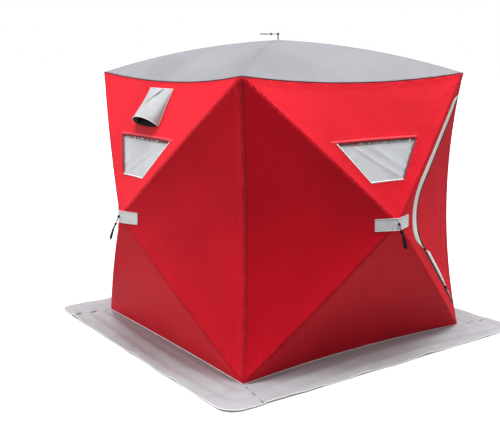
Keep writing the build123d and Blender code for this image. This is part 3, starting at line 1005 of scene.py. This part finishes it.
def pocket_patch(panel, corner_u, corner_v):
    """Inside reinforcement over one corner of a panel, both sides of its ridge."""
    steps = 10
    end = 0 if corner_v > 0 else 2
    points, index = [], {}
    for i in range(steps + 1):
        for j in range(steps + 1 - i):
            index[i, j] = len(points)
            across, up = HALF - POCKET_LEG * i / steps, panel.half_v - POCKET_LEG * j / steps
            side_sag = panel.sags[1][0] * (1 - (up / panel.half_v) ** 2)
            end_sag = panel.sags[end][0] * (1 - (across / HALF) ** 2)
            across = min(across, HALF - side_sag - POCKET_INSET)
            up = min(up, panel.half_v - end_sag - POCKET_INSET)
            u, v = corner_u * across, corner_v * up
            k = end if up / panel.half_v > across / HALF else 2 + corner_u
            x, y = panel.turn(-k % len(GORES), u, v)
            points.append((u, v, float(panel.height(k, x, y)) - POCKET_DEPTH))
    faces = []
    for i in range(steps):
        for j in range(steps - i):
            faces.append((index[i, j], index[i + 1, j], index[i, j + 1]))
            if i + j < steps - 1:
                faces.append((index[i + 1, j], index[i + 1, j + 1], index[i, j + 1]))
    return panel.world(points), faces


def make_pockets():
    parts = [pocket_patch(panel, u, v) for panel in PANELS for u in (-1, 1) for v in (-1, 1)]
    obj = new_object("corner_pocket_patches", *joined(parts), pocket_cloth)
    thicken(obj, TRIM_T)
    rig.replaces(obj, "corner_pockets")
    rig.slot(obj, "corner_patch")
    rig.ride(obj, "frame")


PATCH_HALF = 0.137
PATCH_TOP = 0.034
PATCH_BOTTOM = -0.038
PATCH_LIFT = 0.0034
PATCH_SPACING = 0.008
ROOF_PATCH_R = 0.055


def patch_outline(k):
    """Gore k's share of the hub patch, in the gore's own plane."""
    top, bottom = PATCH_TOP, -PATCH_BOTTOM
    if k == 0:
        return np.array([(0, 0), (top, top), (-top, top)])
    if k == 2:
        return np.array([(0, 0), (bottom, bottom), (-bottom, bottom)])
    low, high = (top, bottom) if k == 3 else (bottom, top)
    return np.array([(0, 0), (high, high), (high, PATCH_HALF), (-low, PATCH_HALF), (-low, low)])


def on_patch(panel, k, flat, lift):
    """World points of the patch, which runs straight up and down and bends outwards over the hub."""
    x, y = flat[:, 0], flat[:, 1]
    across = np.abs(panel.turn(k, x, y)[0])
    return panel.place(k, x, y, panel.height(1, 0 * across, across) + PATCH_LIFT + lift)


def make_hub_patches():
    """A reflective patch over each wall's hub. Each gore carries the part that lies on it."""
    for panel in PANELS[:-1]:
        for k, side in enumerate(GORES):
            outline = patch_outline(k)
            flat, faces = flat_cloth(outline, spacing=PATCH_SPACING)
            points = on_patch(panel, k, flat, 0.0)
            patch = new_object(f"{panel.name}_hub_patch_{side}", points, faces, patch_cloth)
            surface = area_of(points, faces)
            thicken(patch, TRIM_T)
            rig.slot(patch, "hood_grey")
            path = on_patch(panel, k, divided(outline[1:], PATCH_SPACING), TRIM_T / 2)
            hem = tubes(f"{panel.name}_hub_patch_hem_{side}", [path], PATCH_HEM_R, hem_cloth)
            size = np.ptp(outline, axis=0)
            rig.sheet(patch, flat=(float(size[0]), float(size[1])), held="stretched",
                     rests_on=(f"{panel.name}_gore_{side}_cloth",), area=min(surface, float(size.prod())),
                     with_pieces=[hem])
            for obj in (patch, hem):
                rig.ride(obj, f"{panel.name}_gore_{side}")


def make_roof_patch():
    """A round patch under the roof strap. It rides the hub."""
    roof = PANEL["roof"]
    rings, sides = 5, 32
    flat = [(0.0, 0.0)]
    for i in range(1, rings):
        radius = ROOF_PATCH_R * i / (rings - 1)
        for j in range(sides):
            angle = 2 * math.pi * j / sides
            flat.append((radius * math.cos(angle), radius * math.sin(angle)))
    flat = np.array(flat)
    r = np.maximum(np.abs(flat[:, 0]), np.abs(flat[:, 1]))
    z = roof.height(0, 0 * r, r) + 0.0025
    faces = [(0, 1 + j, 1 + (j + 1) % sides) for j in range(sides)]
    for i in range(rings - 2):
        for j in range(sides):
            a, b = 1 + i * sides + j, 1 + i * sides + (j + 1) % sides
            faces.append((a, a + sides, b + sides, b))
    obj = new_object("roof_hub_patch", roof.world(np.column_stack([flat, z])), faces, skirt_cloth)
    thicken(obj, TRIM_T)
    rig.slot(obj, "roof_grey")
    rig.ride(obj, "roof_hub")


# ================================================================ windows
BLIND_GAP_SIDE = {"front": 1, "right": -1, "back": 1, "left": -1}
BLIND_DEPTH = 0.0115       # behind the wall's cloth
BLIND_MARGIN = 0.013       # past the window's edges
BLIND_PULL = 0.024         # how far one side is drawn in
PANE_MARGIN = 0.004
PANE_DEPTH = 0.0022
PANE_T = 0.0006
PALE_WIDTH = 0.0065
# width of the black band of painted shadow at a window's edge
SHADE_BAND_WIDTH = 0.0030
SEAM_HEIGHT = WINDOW_TOP + 0.013
SEAM_LONG = 0.365          # how far the seam over a window reaches to each side
SEAM_SHORT = 0.335
SEAM_WIDTH = 0.014
TAB_DEPTH = 0.0052


def blind_outline(gap_side):
    """The blind behind a window: low along the top, and drawn in at one side."""
    corners = window_outline(BLIND_MARGIN)
    corners[[1, 2] if gap_side > 0 else [0, 3], 0] -= gap_side * BLIND_PULL
    left_bottom, right_bottom, right_top, left_top = corners
    t = np.linspace(0, 1, 41)[:, None]
    top = right_top + (left_top - right_top) * t
    across = t[:, 0] if gap_side > 0 else 1 - t[:, 0]
    droop = 0.006 * np.sin(across * math.pi)
    top[:, 1] = WINDOW_TOP - BLIND_MARGIN - droop - 0.0025 * uneven(across * 26, 1.0)
    return np.vstack([left_bottom, right_bottom, top])


def blind_folds(x, y, side):
    """Soft pleats along one slanted edge, and folds that run across from it."""
    x = x * side
    up = (y - WINDOW_BOTTOM) / (WINDOW_TOP - WINDOW_BOTTOM)
    edge = WINDOW_HALF_BOTTOM + up * (WINDOW_HALF_TOP - WINDOW_HALF_BOTTOM)
    off = x + edge
    pleats = 0.0030 * np.cos(2 * math.pi * off / 0.034) * np.exp(-off / 0.075)
    slanting = off * 0.80 + (y - WINDOW_TOP) * 0.60
    folds = 0.0042 * bell(slanting, 0.085, 0.020) + 0.0030 * bell(slanting, 0.19, 0.028)
    return pleats + folds * ease((WINDOW_TOP - y) / 0.05) + 0.0012 * uneven(x * 26 + y * 11, 2.0)


def make_windows():
    """On each wall: the pane, its pale hem along two sides and a black band of painted shadow along the other two, the
    seam over it, and the blind behind it.
    """
    for panel in PANELS[:-1]:
        name, gap_side = panel.name, BLIND_GAP_SIDE[panel.name]
        film_flat, film_faces = flat_cloth(window_outline(PANE_MARGIN), spacing=0.02)
        pane = lay(panel, 0, film_flat, film_faces, f"{name}_window_film", film, -PANE_DEPTH, PANE_T)
        corners = np.roll(window_outline(), 1 if gap_side > 0 else 0, 0)
        pale, dark = divided(corners[:3], TRIM_SPACING), divided(corners[[2, 3, 0]], TRIM_SPACING)
        hem = band(panel, 0, pale, PALE_WIDTH, f"{name}_window_hem", hem_cloth, 0.0006, TRIM_T)
        # A black band along the top and the side where the blind is drawn in paints the shadow of the gap at the
        # window's edge.
        rim = band(panel, 0, dark, SHADE_BAND_WIDTH, f"{name}_window_edge", black_tape, 0.0004, THIN_T)
        over = np.array([(SEAM_LONG, SEAM_HEIGHT), (-SEAM_SHORT, SEAM_HEIGHT)]) * (-gap_side, 1)
        over = over if gap_side > 0 else over[::-1]
        seam = puckered_seam(panel, divided(over, 0.004), f"{name}_window_seam")
        for obj in (pane, hem, rim, seam):
            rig.ride(obj, f"{name}_gore_top")
        flat, faces = flat_cloth(blind_outline(gap_side), spacing=0.010)
        points = on_cloth(panel, 0, flat, blind_folds(flat[:, 0], flat[:, 1], gap_side) - BLIND_DEPTH)
        surface = area_of(points, faces)
        blind = new_object(f"{name}_blind_cloth", points, faces, blind_cloth)
        thicken(blind, THIN_T)
        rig.replaces(blind, f"{name}_window_blind")
        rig.slot(blind, "blind_grey")
        size = (2 * WINDOW_HALF_TOP + 0.028, (WINDOW_TOP - WINDOW_BOTTOM) * 1.12)
        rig.sheet(blind, flat=size, held="hung", rests_on=(f"{name}_gore_top_cloth",), area=surface)
        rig.ride(blind, f"{name}_window_blind")
        make_tabs(panel, gap_side)


def puckered_seam(panel, path, name):
    """The folded, stitched seam over a window, puckered by its thread."""
    rows = 5
    lines, lifts = [], []
    run = path_length(path)
    for i in range(rows):
        t = i / (rows - 1)
        lines.append(path + (0, SEAM_WIDTH * (t - 0.5)))
        lifts.append(0.0006 + 0.0018 * math.sin(math.pi * t) * (1 + 0.7 * uneven(run * 150, 3.0)))
    flat, lift = np.vstack(lines), np.concatenate(lifts)
    faces = facing_out(flat, grid_faces(rows, len(path)))
    return thicken(new_object(name, on_cloth(panel, 0, flat, lift), faces, seam_cloth), THIN_T)


TAB_PLACES = [-0.125, -0.055, 0.012, 0.075, 0.128, 0.176, 0.214, 0.262]
TAB_WIDTHS = [0.034, 0.022, 0.012, 0.030, 0.012, 0.026, 0.010, 0.024]


def make_tabs(panel, side):
    """Hook-and-loop dabs in the gap over the blind."""
    parts = []
    low, high, taper = WINDOW_TOP - 0.011, WINDOW_TOP - 0.003, 0.002
    for place, width in zip(TAB_PLACES, TAB_WIDTHS):
        left, right = place - width / 2, place + width / 2
        outline = np.array([(left, low), (right, low), (right - taper, high), (left + taper, high)])
        outline[:, 0] *= side
        flat, faces = flat_cloth(outline if side > 0 else outline[::-1], spacing=0.006)
        parts.append((on_cloth(panel, 0, flat, -TAB_DEPTH), faces))
    tabs = new_object(f"{panel.name}_blind_tabs", *joined(parts), binding_white)
    thicken(tabs, THIN_T)
    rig.ride(tabs, f"{panel.name}_gore_top")


# ================================================================ the door's zip
COIL_PITCH = 0.0042
COIL_TOOTH = 0.0024
COIL_LOW = 0.0006          # teeth stand between these heights over the wall
COIL_HIGH = 0.0026
ZIP_REACH = 0.875
RIBBON_WIDTH = 0.062
RIBBON_POLE_END = 0.243    # how far down the ribbon on the poles' side reaches
RIBBON_DOOR_WIDTH = 0.032
RIBBON_DOOR_START = 0.235
RIBBON_LIFT = 0.0012
RIBBON_ARCH = 0.0040
TAPE_LIFT = 0.0012
RIBBON_START = 0.004       # from the zip's line
RIBBON_LEAST = 0.002       # a narrower ribbon is left out


def path_length(path):
    steps = np.linalg.norm(np.diff(path, axis=0), axis=1)
    return np.concatenate([[0], np.cumsum(steps)])


def make_zip():
    """The door's zip and the pale ribbons along it. What lies on the door rides the door."""
    front = PANEL["front"]
    full = divided(zip_line(ZIP_REACH), TRIM_SPACING)
    pieces = {
        "upper": full[(full[:, 0] < 0) & (full[:, 1] > DOOR_FOLD)],
        "middle": full[full[:, 1] <= DOOR_FOLD],
        "lower": full[(full[:, 0] > 0) & (full[:, 1] > DOOR_FOLD)],
    }
    pole_side = np.where(full[:, 0] < RIBBON_POLE_END, RIBBON_WIDTH, 0.0)
    pole_side = pole_side * ease((RIBBON_POLE_END - full[:, 0]) / 0.17) * ease((0.90 - full[:, 1]) / 0.10)
    keep = pole_side > RIBBON_LEAST
    ribbon(front, full[keep], pole_side[keep], 1, "zip_ribbon_pole_side", "gore")
    door_side = RIBBON_DOOR_WIDTH * ease((full[:, 0] - RIBBON_DOOR_START) / 0.07)
    door_side = door_side * ease((0.905 - full[:, 1]) / 0.30)
    on_flap = full[:, 1] <= DOOR_FOLD + 1e-9
    beyond = full[:, 1] > DOOR_FOLD - 1e-9
    for name, to, part in (("door", "door", on_flap), ("corner", "gore", beyond)):
        keep = part & (door_side > RIBBON_LEAST) & (full[:, 0] > 0)
        if keep.sum() > 2:
            ribbon(front, full[keep], door_side[keep], -1, f"zip_ribbon_{name}_side", to)
    for name, path in pieces.items():
        if name == "middle":
            coil_half(front, path, -1, "zip_coil_door", "door")
            coil_half(front, path, 1, "zip_coil_pole", "gore")
        else:
            for side, word in ((-1, "inner"), (1, "outer")):
                coil_half(front, path, side, f"zip_coil_{name}_{word}", "gore")


def tie(obj, panel, to):
    """Bends a piece with the door or with the gore around it."""
    if to == "door":
        bend_door(obj, panel)
    else:
        bend_gore(obj, panel, 3)


def ribbon(panel, path, width, side, name, to):
    """A ribbon beside the zip, arched from edge to edge. Its width changes along it."""
    rows = 6
    lines, lifts = [], []
    for i in range(rows):
        t = i / (rows - 1)
        lines.append(offset_path(path, -side * (RIBBON_START + width * t)))
        lifts.append(np.full(len(path), RIBBON_LIFT + RIBBON_ARCH * math.sin(math.pi * t)))
    flat, lift = np.vstack(lines), np.concatenate(lifts)
    faces = facing_out(flat, grid_faces(rows, len(path)))
    obj = new_object(name, on_cloth(panel, 3, flat, lift), faces, ribbon_cloth)
    thicken(obj, THIN_T)
    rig.slot(obj, "hood_grey")
    tie(obj, panel, to)


def coil_half(panel, path, side, name, to):
    """One half of the zip: its tape and a row of teeth."""
    fine = divided(path, COIL_PITCH)
    flat = np.vstack([offset_path(path, -side * w) for w in (0.0006, 0.0115)])
    parts = [(on_cloth(panel, 3, flat, TAPE_LIFT), facing_out(flat, grid_faces(2, len(path))))]
    near, far = offset_path(fine, side * 0.0008), offset_path(fine, -side * 0.0030)
    box = [(0, 1, 2, 3), (7, 6, 5, 4), (0, 4, 5, 1), (1, 5, 6, 2), (2, 6, 7, 3), (3, 7, 4, 0)]
    for i in range(1, len(fine) - 1):
        step = fine[i + 1] - fine[i]
        shift = step * side * 0.25
        along = step / np.linalg.norm(step) * COIL_TOOTH / 2
        corners = np.array([near[i] + shift - along, near[i] + shift + along,
                            far[i] + shift + along, far[i] + shift - along])
        wall = float(panel.height(3, *fine[i]))
        levels = [panel.place(3, corners[:, 0], corners[:, 1], wall + rise) for rise in (COIL_LOW, COIL_HIGH)]
        parts.append((np.vstack(levels), box))
    obj = new_object(name, *joined(parts), black_tape, smooth=False)
    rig.slot(obj, "zip_metal")
    tie(obj, panel, to)


# ================================================================ vent hood
HOOD_TOP = 0.788
HOOD_HALF = 0.150
HOOD_MIDDLE = -0.066
HOOD_LOW = 0.560           # the mouth's edge where it meets the wall
HOOD_LOW_RISE = 0.055      # and how much higher it is where it stands out most
HOOD_STAND = 0.086
HOOD_BEND = 0.045
HOOD_HEM_R = 0.0026
HOOD_FLAT = (2 * HOOD_HALF + 0.13, 0.26)
NET_TOP = 0.765
NET_LOW = 0.566
NET_ARC = 0.018


def make_vent():
    """Hood arched over the vent slot, open at its mouth, with a pleat from its top edge; net behind."""
    left = PANEL["left"]
    columns, rows = 91, 31
    flat, lifts = [], []
    for i in range(rows):
        t = i / (rows - 1)
        for j in range(columns):
            a = math.pi * j / (columns - 1)
            across, arch = -math.cos(a), math.sin(a)
            low = HOOD_LOW + HOOD_LOW_RISE * arch
            v = HOOD_TOP + (low - HOOD_TOP) * t
            slit = 0.24 - 0.55 * t
            pleat = 0.030 * bell(across, slit, 0.060) * bell(t, 0.16, 0.17)
            ridge = 0.016 * bell(across, slit - 0.20, 0.13) * bell(t, 0.35, 0.25)
            dent = 0.006 * bell(across, 0.62, 0.14) * bell(t, 0.62, 0.22)
            lift = 0.004 + HOOD_STAND * arch * t ** 0.85 + (0.004 + ridge - dent) * min(1, 3 * arch) - pleat
            flat.append((across * HOOD_HALF + HOOD_MIDDLE, v))
            lifts.append(max(lift, 0.0026))
    flat, lifts = np.array(flat), np.array(lifts)
    surface = left.height(0, flat[:, 0], flat[:, 1])
    points = left.place(0, flat[:, 0], flat[:, 1], surface + lifts)
    faces = [f[::-1] for f in grid_faces(rows, columns)]
    hood = new_object("vent_hood_cloth", points, faces, hood_cloth)
    area = sum(p.area for p in hood.data.polygons)
    thicken(hood, TRIM_T)
    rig.replaces(hood, "left_vent_hood")
    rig.slot(hood, "hood_grey")
    grid = points.reshape(rows, columns, 3)
    edges = [grid[-1], grid[:, 0], grid[:, -1], grid[0]]
    hem = tubes("vent_hood_hem", edges, HOOD_HEM_R, hem_cloth)
    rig.sheet(hood, flat=HOOD_FLAT, held="hung", rests_on=("left_gore_top_cloth",), area=area,
             with_pieces=[hem])
    sewn, free = (left.place(0, 0.0, v, left.height(0, 0.0, v)) for v in (HOOD_TOP, HOOD_TOP - HOOD_BEND))
    for obj in (hood, hem):
        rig.blend(obj, "left_gore_top", "left_vent_hood", start=sewn, end=free)
    across = HOOD_HALF - 0.001
    angles = np.linspace(math.pi, 0, 25)
    arc = [(HOOD_MIDDLE + across * math.cos(a), NET_LOW - NET_ARC * math.sin(a)) for a in angles]
    around = np.array([*arc, (HOOD_MIDDLE + across, NET_TOP), (HOOD_MIDDLE - across, NET_TOP)])
    net_flat, net_faces = flat_cloth(around, spacing=0.012)
    mesh = lay(left, 0, net_flat, net_faces, "vent_net", net, 0.0016, 0.0006)
    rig.ride(mesh, "left_gore_top")


# ================================================================ pull straps
CORD_R = 0.0019
CORD_LEG = 0.042
CORD_SPREAD = 0.0065
KNOT_R = 0.0030
KNOT_MIDDLE = -CORD_LEG - 0.007
LOOP_LENGTH = 0.074
GRIP_LENGTH = 0.100
GRIP_TIP = 0.86            # from this share of its length the grip rounds off
EDGE_CORD_R = 0.0009


def strap_parts(loop):
    """A pull strap hanging along -y from its eye at the origin: cord legs, knot and grip or loop."""
    t = np.linspace(0, math.pi, 13)
    top = np.stack([CORD_SPREAD * np.cos(t), 0.0018 * np.sin(t), 0 * t], axis=1)
    right = np.linspace((0.0024, -CORD_LEG, 0), (CORD_SPREAD, 0, 0), 9)
    left = right[::-1] * np.array([-1, 1, 1])
    parts = [tube_mesh(np.vstack([right[:-1], top, left[1:]]), CORD_R, 8)]
    for turn in (0.0, 2.1):
        s = np.linspace(0, 2 * math.pi, 28, endpoint=False)
        knot = np.stack([0.0064 * np.sin(s + turn) + 0.0016 * np.sin(2 * s),
                         KNOT_MIDDLE + 0.0052 * np.cos(2 * s + turn),
                         0.0050 * np.cos(s + 0.6 * turn)], axis=1)
        parts.append(tube_mesh(knot, KNOT_R, 8, closed=True))
    if loop:
        s = np.linspace(0, 1, 33)
        down = -CORD_LEG - 0.012 - LOOP_LENGTH * np.sin(math.pi * s) ** 0.8
        out = np.stack([0.0115 * np.sin(2 * math.pi * s), down, 0.0016 * np.sin(5 * s)], axis=1)
        parts.append(tube_mesh(out, CORD_R, 8))
        return joined(parts)
    rows, sides = 26, 16
    points = []
    for i in range(rows):
        t = i / (rows - 1)
        tip = max(0, (t - GRIP_TIP) / 0.14)
        half = 0.0068 + 0.0082 * ease(t * 1.15)
        half *= math.sqrt(max(1 - tip ** 2, 0.02))
        half *= math.sqrt(min(1, 0.12 + t / 0.05))
        thick = 0.0026 * (1 - 0.35 * tip)
        y = -CORD_LEG - 0.010 - GRIP_LENGTH * t
        sway = 0.0020 * math.sin(5 * t)
        for j in range(sides):
            a = 2 * math.pi * j / sides
            flat_x = abs(math.cos(a)) ** 0.55 * math.copysign(1, math.cos(a))
            flat_z = abs(math.sin(a)) ** 0.55 * math.copysign(1, math.sin(a))
            points.append((half * flat_x, y, thick * flat_z + sway))
    parts.append((points, grid_faces(rows, sides, wrap=True) + end_caps(rows, sides)))
    t = np.linspace(0, 1, 20)
    for side in (-1, 1):
        rim = np.stack([side * (0.0060 + 0.0080 * ease(t * 1.15)), -CORD_LEG - 0.014 - 0.080 * t,
                        0.0028 + 0.0020 * np.sin(5 * t)], axis=1)
        parts.append(tube_mesh(rim, EDGE_CORD_R, 6))
    return joined(parts)


def make_straps():
    """A strap on every hub: a grip on the walls, a loop on the roof."""
    for panel in PANELS:
        roof = panel.name == "roof"
        points, faces = strap_parts(roof)
        angle, axis = (ROOF_STRAP_TURN + math.pi / 2, "Z") if roof else (-STRAP_LEAN, "X")
        above = STRAP_ABOVE_ROOF if roof else STRAP_ABOVE_WALL
        place = panel.matrix(panel.rise + above, Matrix.Rotation(angle, 4, axis))
        points = [place @ Vector(p) for p in points]
        strap = new_object(f"{panel.name}_strap_webbing", points, faces, black_webbing)
        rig.replaces(strap, f"{panel.name}_pull_strap")
        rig.slot(strap, "strap_black")
        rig.ride(strap, f"{panel.name}_pull_strap")


# ================================================================ ground skirt
SKIRT_T = 0.0016
SKIRT_ROWS = 22
SKIRT_HEM_R = 0.0024


def skirt_height(along, out, seed):
    """Ripples that run along the wall, lower at the seam and livelier at the free edge."""
    lines = 0.5 + 0.5 * np.sin(2 * math.pi * (out * 2.6 + 0.25 * np.sin(along * 2.3 + seed) + 0.07 * seed))
    cross = 0.5 + 0.5 * uneven(along * 13 + out * 3, seed)
    ripples = 0.013 * lines * ease(out / 0.2) * (0.55 + 0.45 * cross)
    rise = ripples + 0.010 * ease((out - 0.75) / 0.25) * cross ** 2
    return SKIRT_T + 0.0006 + 0.0065 * (1 - ease(out / 0.10)) + rise


def skirt_piece(name, grid_xy, along, i, flat):
    """Wall i's strip or gusset over a grid of points, each row further out, with its outer hem."""
    rows, columns = grid_xy.shape[:2]
    out = np.linspace(0, 1, rows)[:, None]
    z = np.broadcast_to(skirt_height(along[None], out, i + 1.0), (rows, columns))
    points = np.stack([grid_xy[..., 0], grid_xy[..., 1], z], axis=-1).reshape(-1, 3)
    points = points @ np.array(Matrix.Rotation(math.pi / 2 * i, 3, "Z")).T
    obj = new_object(name, points, facing_out(points, grid_faces(rows, columns)), skirt_cloth)
    surface = sum(p.area for p in obj.data.polygons)
    thicken(obj, SKIRT_T)
    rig.slot(obj, "skirt_grey")
    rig.ride(obj, "frame")
    edge = points.reshape(rows, columns, 3)[-1]
    hem = tubes(name + "_hem", [edge + (0, 0, 0.0003)], SKIRT_HEM_R, hem_cloth, sides=8)
    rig.ride(hem, "frame")
    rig.sheet(obj, flat=flat, held="laid", rests_on=("ground",), area=min(surface, flat[0] * flat[1]),
             with_pieces=[hem])
    return obj


def make_skirt():
    """The four strips and the four corner gussets between them."""
    strips = []
    for i, name in enumerate(WALLS):
        s = np.linspace(-1, 1, 150)
        inner = np.stack([s * HALF, -HALF + BASE_SAG[name] * (1 - s * s)], axis=-1)
        outer_edge = SKIRT_HALF - 0.004 + 0.005 * uneven(s * 9, i + 0.5)
        outer = np.stack([s * (HALF + GUSSET_INSET), -outer_edge], axis=-1)
        grid_xy = inner[None] + (outer - inner)[None] * np.linspace(0, 1, SKIRT_ROWS)[:, None, None]
        size = (2 * (HALF + GUSSET_INSET), SKIRT_HALF - HALF + BASE_SAG[name])
        strips.append(skirt_piece(f"skirt_{name}", grid_xy, s * HALF, i, size))
        make_gusset(i, name)
    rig.replaces(strips[0], "snow_skirt")


def make_gusset(i, name):
    """The corner piece between two strips, fanned out from the wall's corner, with a round outer corner."""
    columns = 41
    edge = HALF + GUSSET_INSET
    centre = SKIRT_HALF - SKIRT_CORNER_R
    arc = [(centre + SKIRT_CORNER_R * math.cos(a), -centre - SKIRT_CORNER_R * math.sin(a))
           for a in np.linspace(math.pi / 2, 0, 21)]
    path = divided([(edge, -SKIRT_HALF), *arc, (SKIRT_HALF, -edge)], 0.006)
    lengths = path_length(path)
    wanted = np.linspace(0, lengths[-1], columns)
    rim = np.stack([np.interp(wanted, lengths, path[:, j]) for j in (0, 1)], axis=-1)
    rim *= (1 - 0.004 + 0.003 * uneven(np.linspace(0, 5, columns), i))[:, None]
    corner = np.array([HALF, -HALF])
    t = np.linspace(0, 1, SKIRT_ROWS)[:, None, None]
    grid_xy = corner + (rim - corner)[None] * (0.02 + 0.98 * t)
    along = HALF + np.linspace(0, 0.4, columns)
    size = SKIRT_HALF - HALF + 0.02
    skirt_piece(f"skirt_gusset_{name}", grid_xy, along, i, (size, size))


# ================================================================ finishes on the frame's own nodes
def finish_nodes():
    """Better materials on the rods, hubs and slider that stay as they are."""
    for name, node in frame["nodes"].items():
        if "_pole_" in name:
            material = rod_black
        elif name.endswith("_hub"):
            material = nylon
        elif name.endswith("_slider"):
            material = slider_metal
        else:
            continue
        node.data.materials.clear()
        node.data.materials.append(material)


# ================================================================ camera, floor and light
def make_camera():
    """The photo's viewpoint, from a fit to nine corners of the shelter."""
    data = bpy.data.cameras.new("camera")
    camera = bpy.data.objects.new("camera", data)
    bpy.context.scene.collection.objects.link(camera)
    bpy.context.scene.camera = camera
    camera.location = (-3.3826, -4.7059, 1.8676)
    camera.rotation_euler = Euler((math.radians(82.932), 0, math.radians(-36.866)))
    data.lens = 59.15
    data.sensor_width = 36.0
    data.shift_x = -0.0897
    data.shift_y = -0.123
    data.clip_end = 200


FLOOR_GAP = 0.0008         # under the skirt, so that the two don't flicker


def make_floor():
    """White ground that the stage stands on."""
    size = 60.0
    shader = Shader("floor_pale", (0.86, 0.86, 0.87), 0.9, 0.1)
    shader.vary(shader.noise(0.8, 2.0), 0.01)
    floor = new_object("ground", [(-size, -size, 0), (size, -size, 0), (size, size, 0), (-size, size, 0)],
                       [(0, 1, 2, 3)], shader.material)
    floor.location.z = -FLOOR_GAP
    floor.visible_diffuse = False
    floor.visible_glossy = False
    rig.stage(floor)


STUDIO = [                 # direction, strength and narrowness of each soft source
    ((0.00, 0.00, 1.00), 11.8, 12),
    ((0.80, -0.30, 0.80), 1.35, 5),
    ((-0.80, 0.30, 0.80), 0.5, 5),
    ((0.95, -0.10, 0.10), 0.25, 5),
    ((-0.80, 0.60, 0.10), 1.9, 5),
    ((0.00, 0.00, -1.00), 1.5, 5),
    ((0.45, -0.90, -1.10), 0.80, 5),
]
STUDIO_FILL = 0.02


def studio_light(nodes, links):
    """The sum of the soft sources around the stage, and a little even fill with each."""
    direction = nodes.new("ShaderNodeTexCoord").outputs["Generated"]
    total = None
    for aim, strength, narrow in STUDIO:
        toward = nodes.new("ShaderNodeVectorMath")
        toward.operation = "DOT_PRODUCT"
        toward.inputs[1].default_value = Vector(aim).normalized()
        links.new(direction, toward.inputs[0])
        value = toward.outputs["Value"]
        for operation, amount in (("MAXIMUM", 0.0), ("POWER", narrow), ("MULTIPLY", strength)):
            step = nodes.new("ShaderNodeMath")
            step.operation = operation
            step.inputs[1].default_value = amount
            links.new(value, step.inputs[0])
            value = step.outputs[0]
        add = nodes.new("ShaderNodeMath")
        add.inputs[1].default_value = STUDIO_FILL
        if total is not None:
            links.new(total, add.inputs[1])
        links.new(value, add.inputs[0])
        total = add.outputs[0]
    return total


def make_light():
    """Light from the world, which the camera sees as plain white."""
    scene = bpy.context.scene
    scene.view_settings.view_transform = "Standard"
    world = bpy.data.worlds.new("studio")
    scene.world = world
    world.use_nodes = True
    nodes, links = world.node_tree.nodes, world.node_tree.links
    lighting = nodes["Background"]
    lighting.inputs["Color"].default_value = (1, 1, 1, 1)
    links.new(studio_light(nodes, links), lighting.inputs["Strength"])
    seen = nodes.new("ShaderNodeBackground")
    seen.inputs["Color"].default_value = (1, 1, 1, 1)
    seen.inputs["Strength"].default_value = 1.0
    mix = nodes.new("ShaderNodeMixShader")
    ray = nodes.new("ShaderNodeLightPath")
    links.new(ray.outputs["Is Camera Ray"], mix.inputs[0])
    links.new(lighting.outputs[0], mix.inputs[1])
    links.new(seen.outputs[0], mix.inputs[2])
    links.new(mix.outputs[0], nodes["World Output"].inputs["Surface"])


make_camera()
make_floor()
make_light()
make_shell()
make_piping()
make_pockets()
make_hub_patches()
make_roof_patch()
make_windows()
make_zip()
make_vent()
make_straps()
make_skirt()
finish_nodes()

visual_low, visual_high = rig.bounds()
with open("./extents.json", "w") as f:
    json.dump({"cad": [list(cad_low), list(cad_high)], "visual": [list(visual_low), list(visual_high)]}, f)
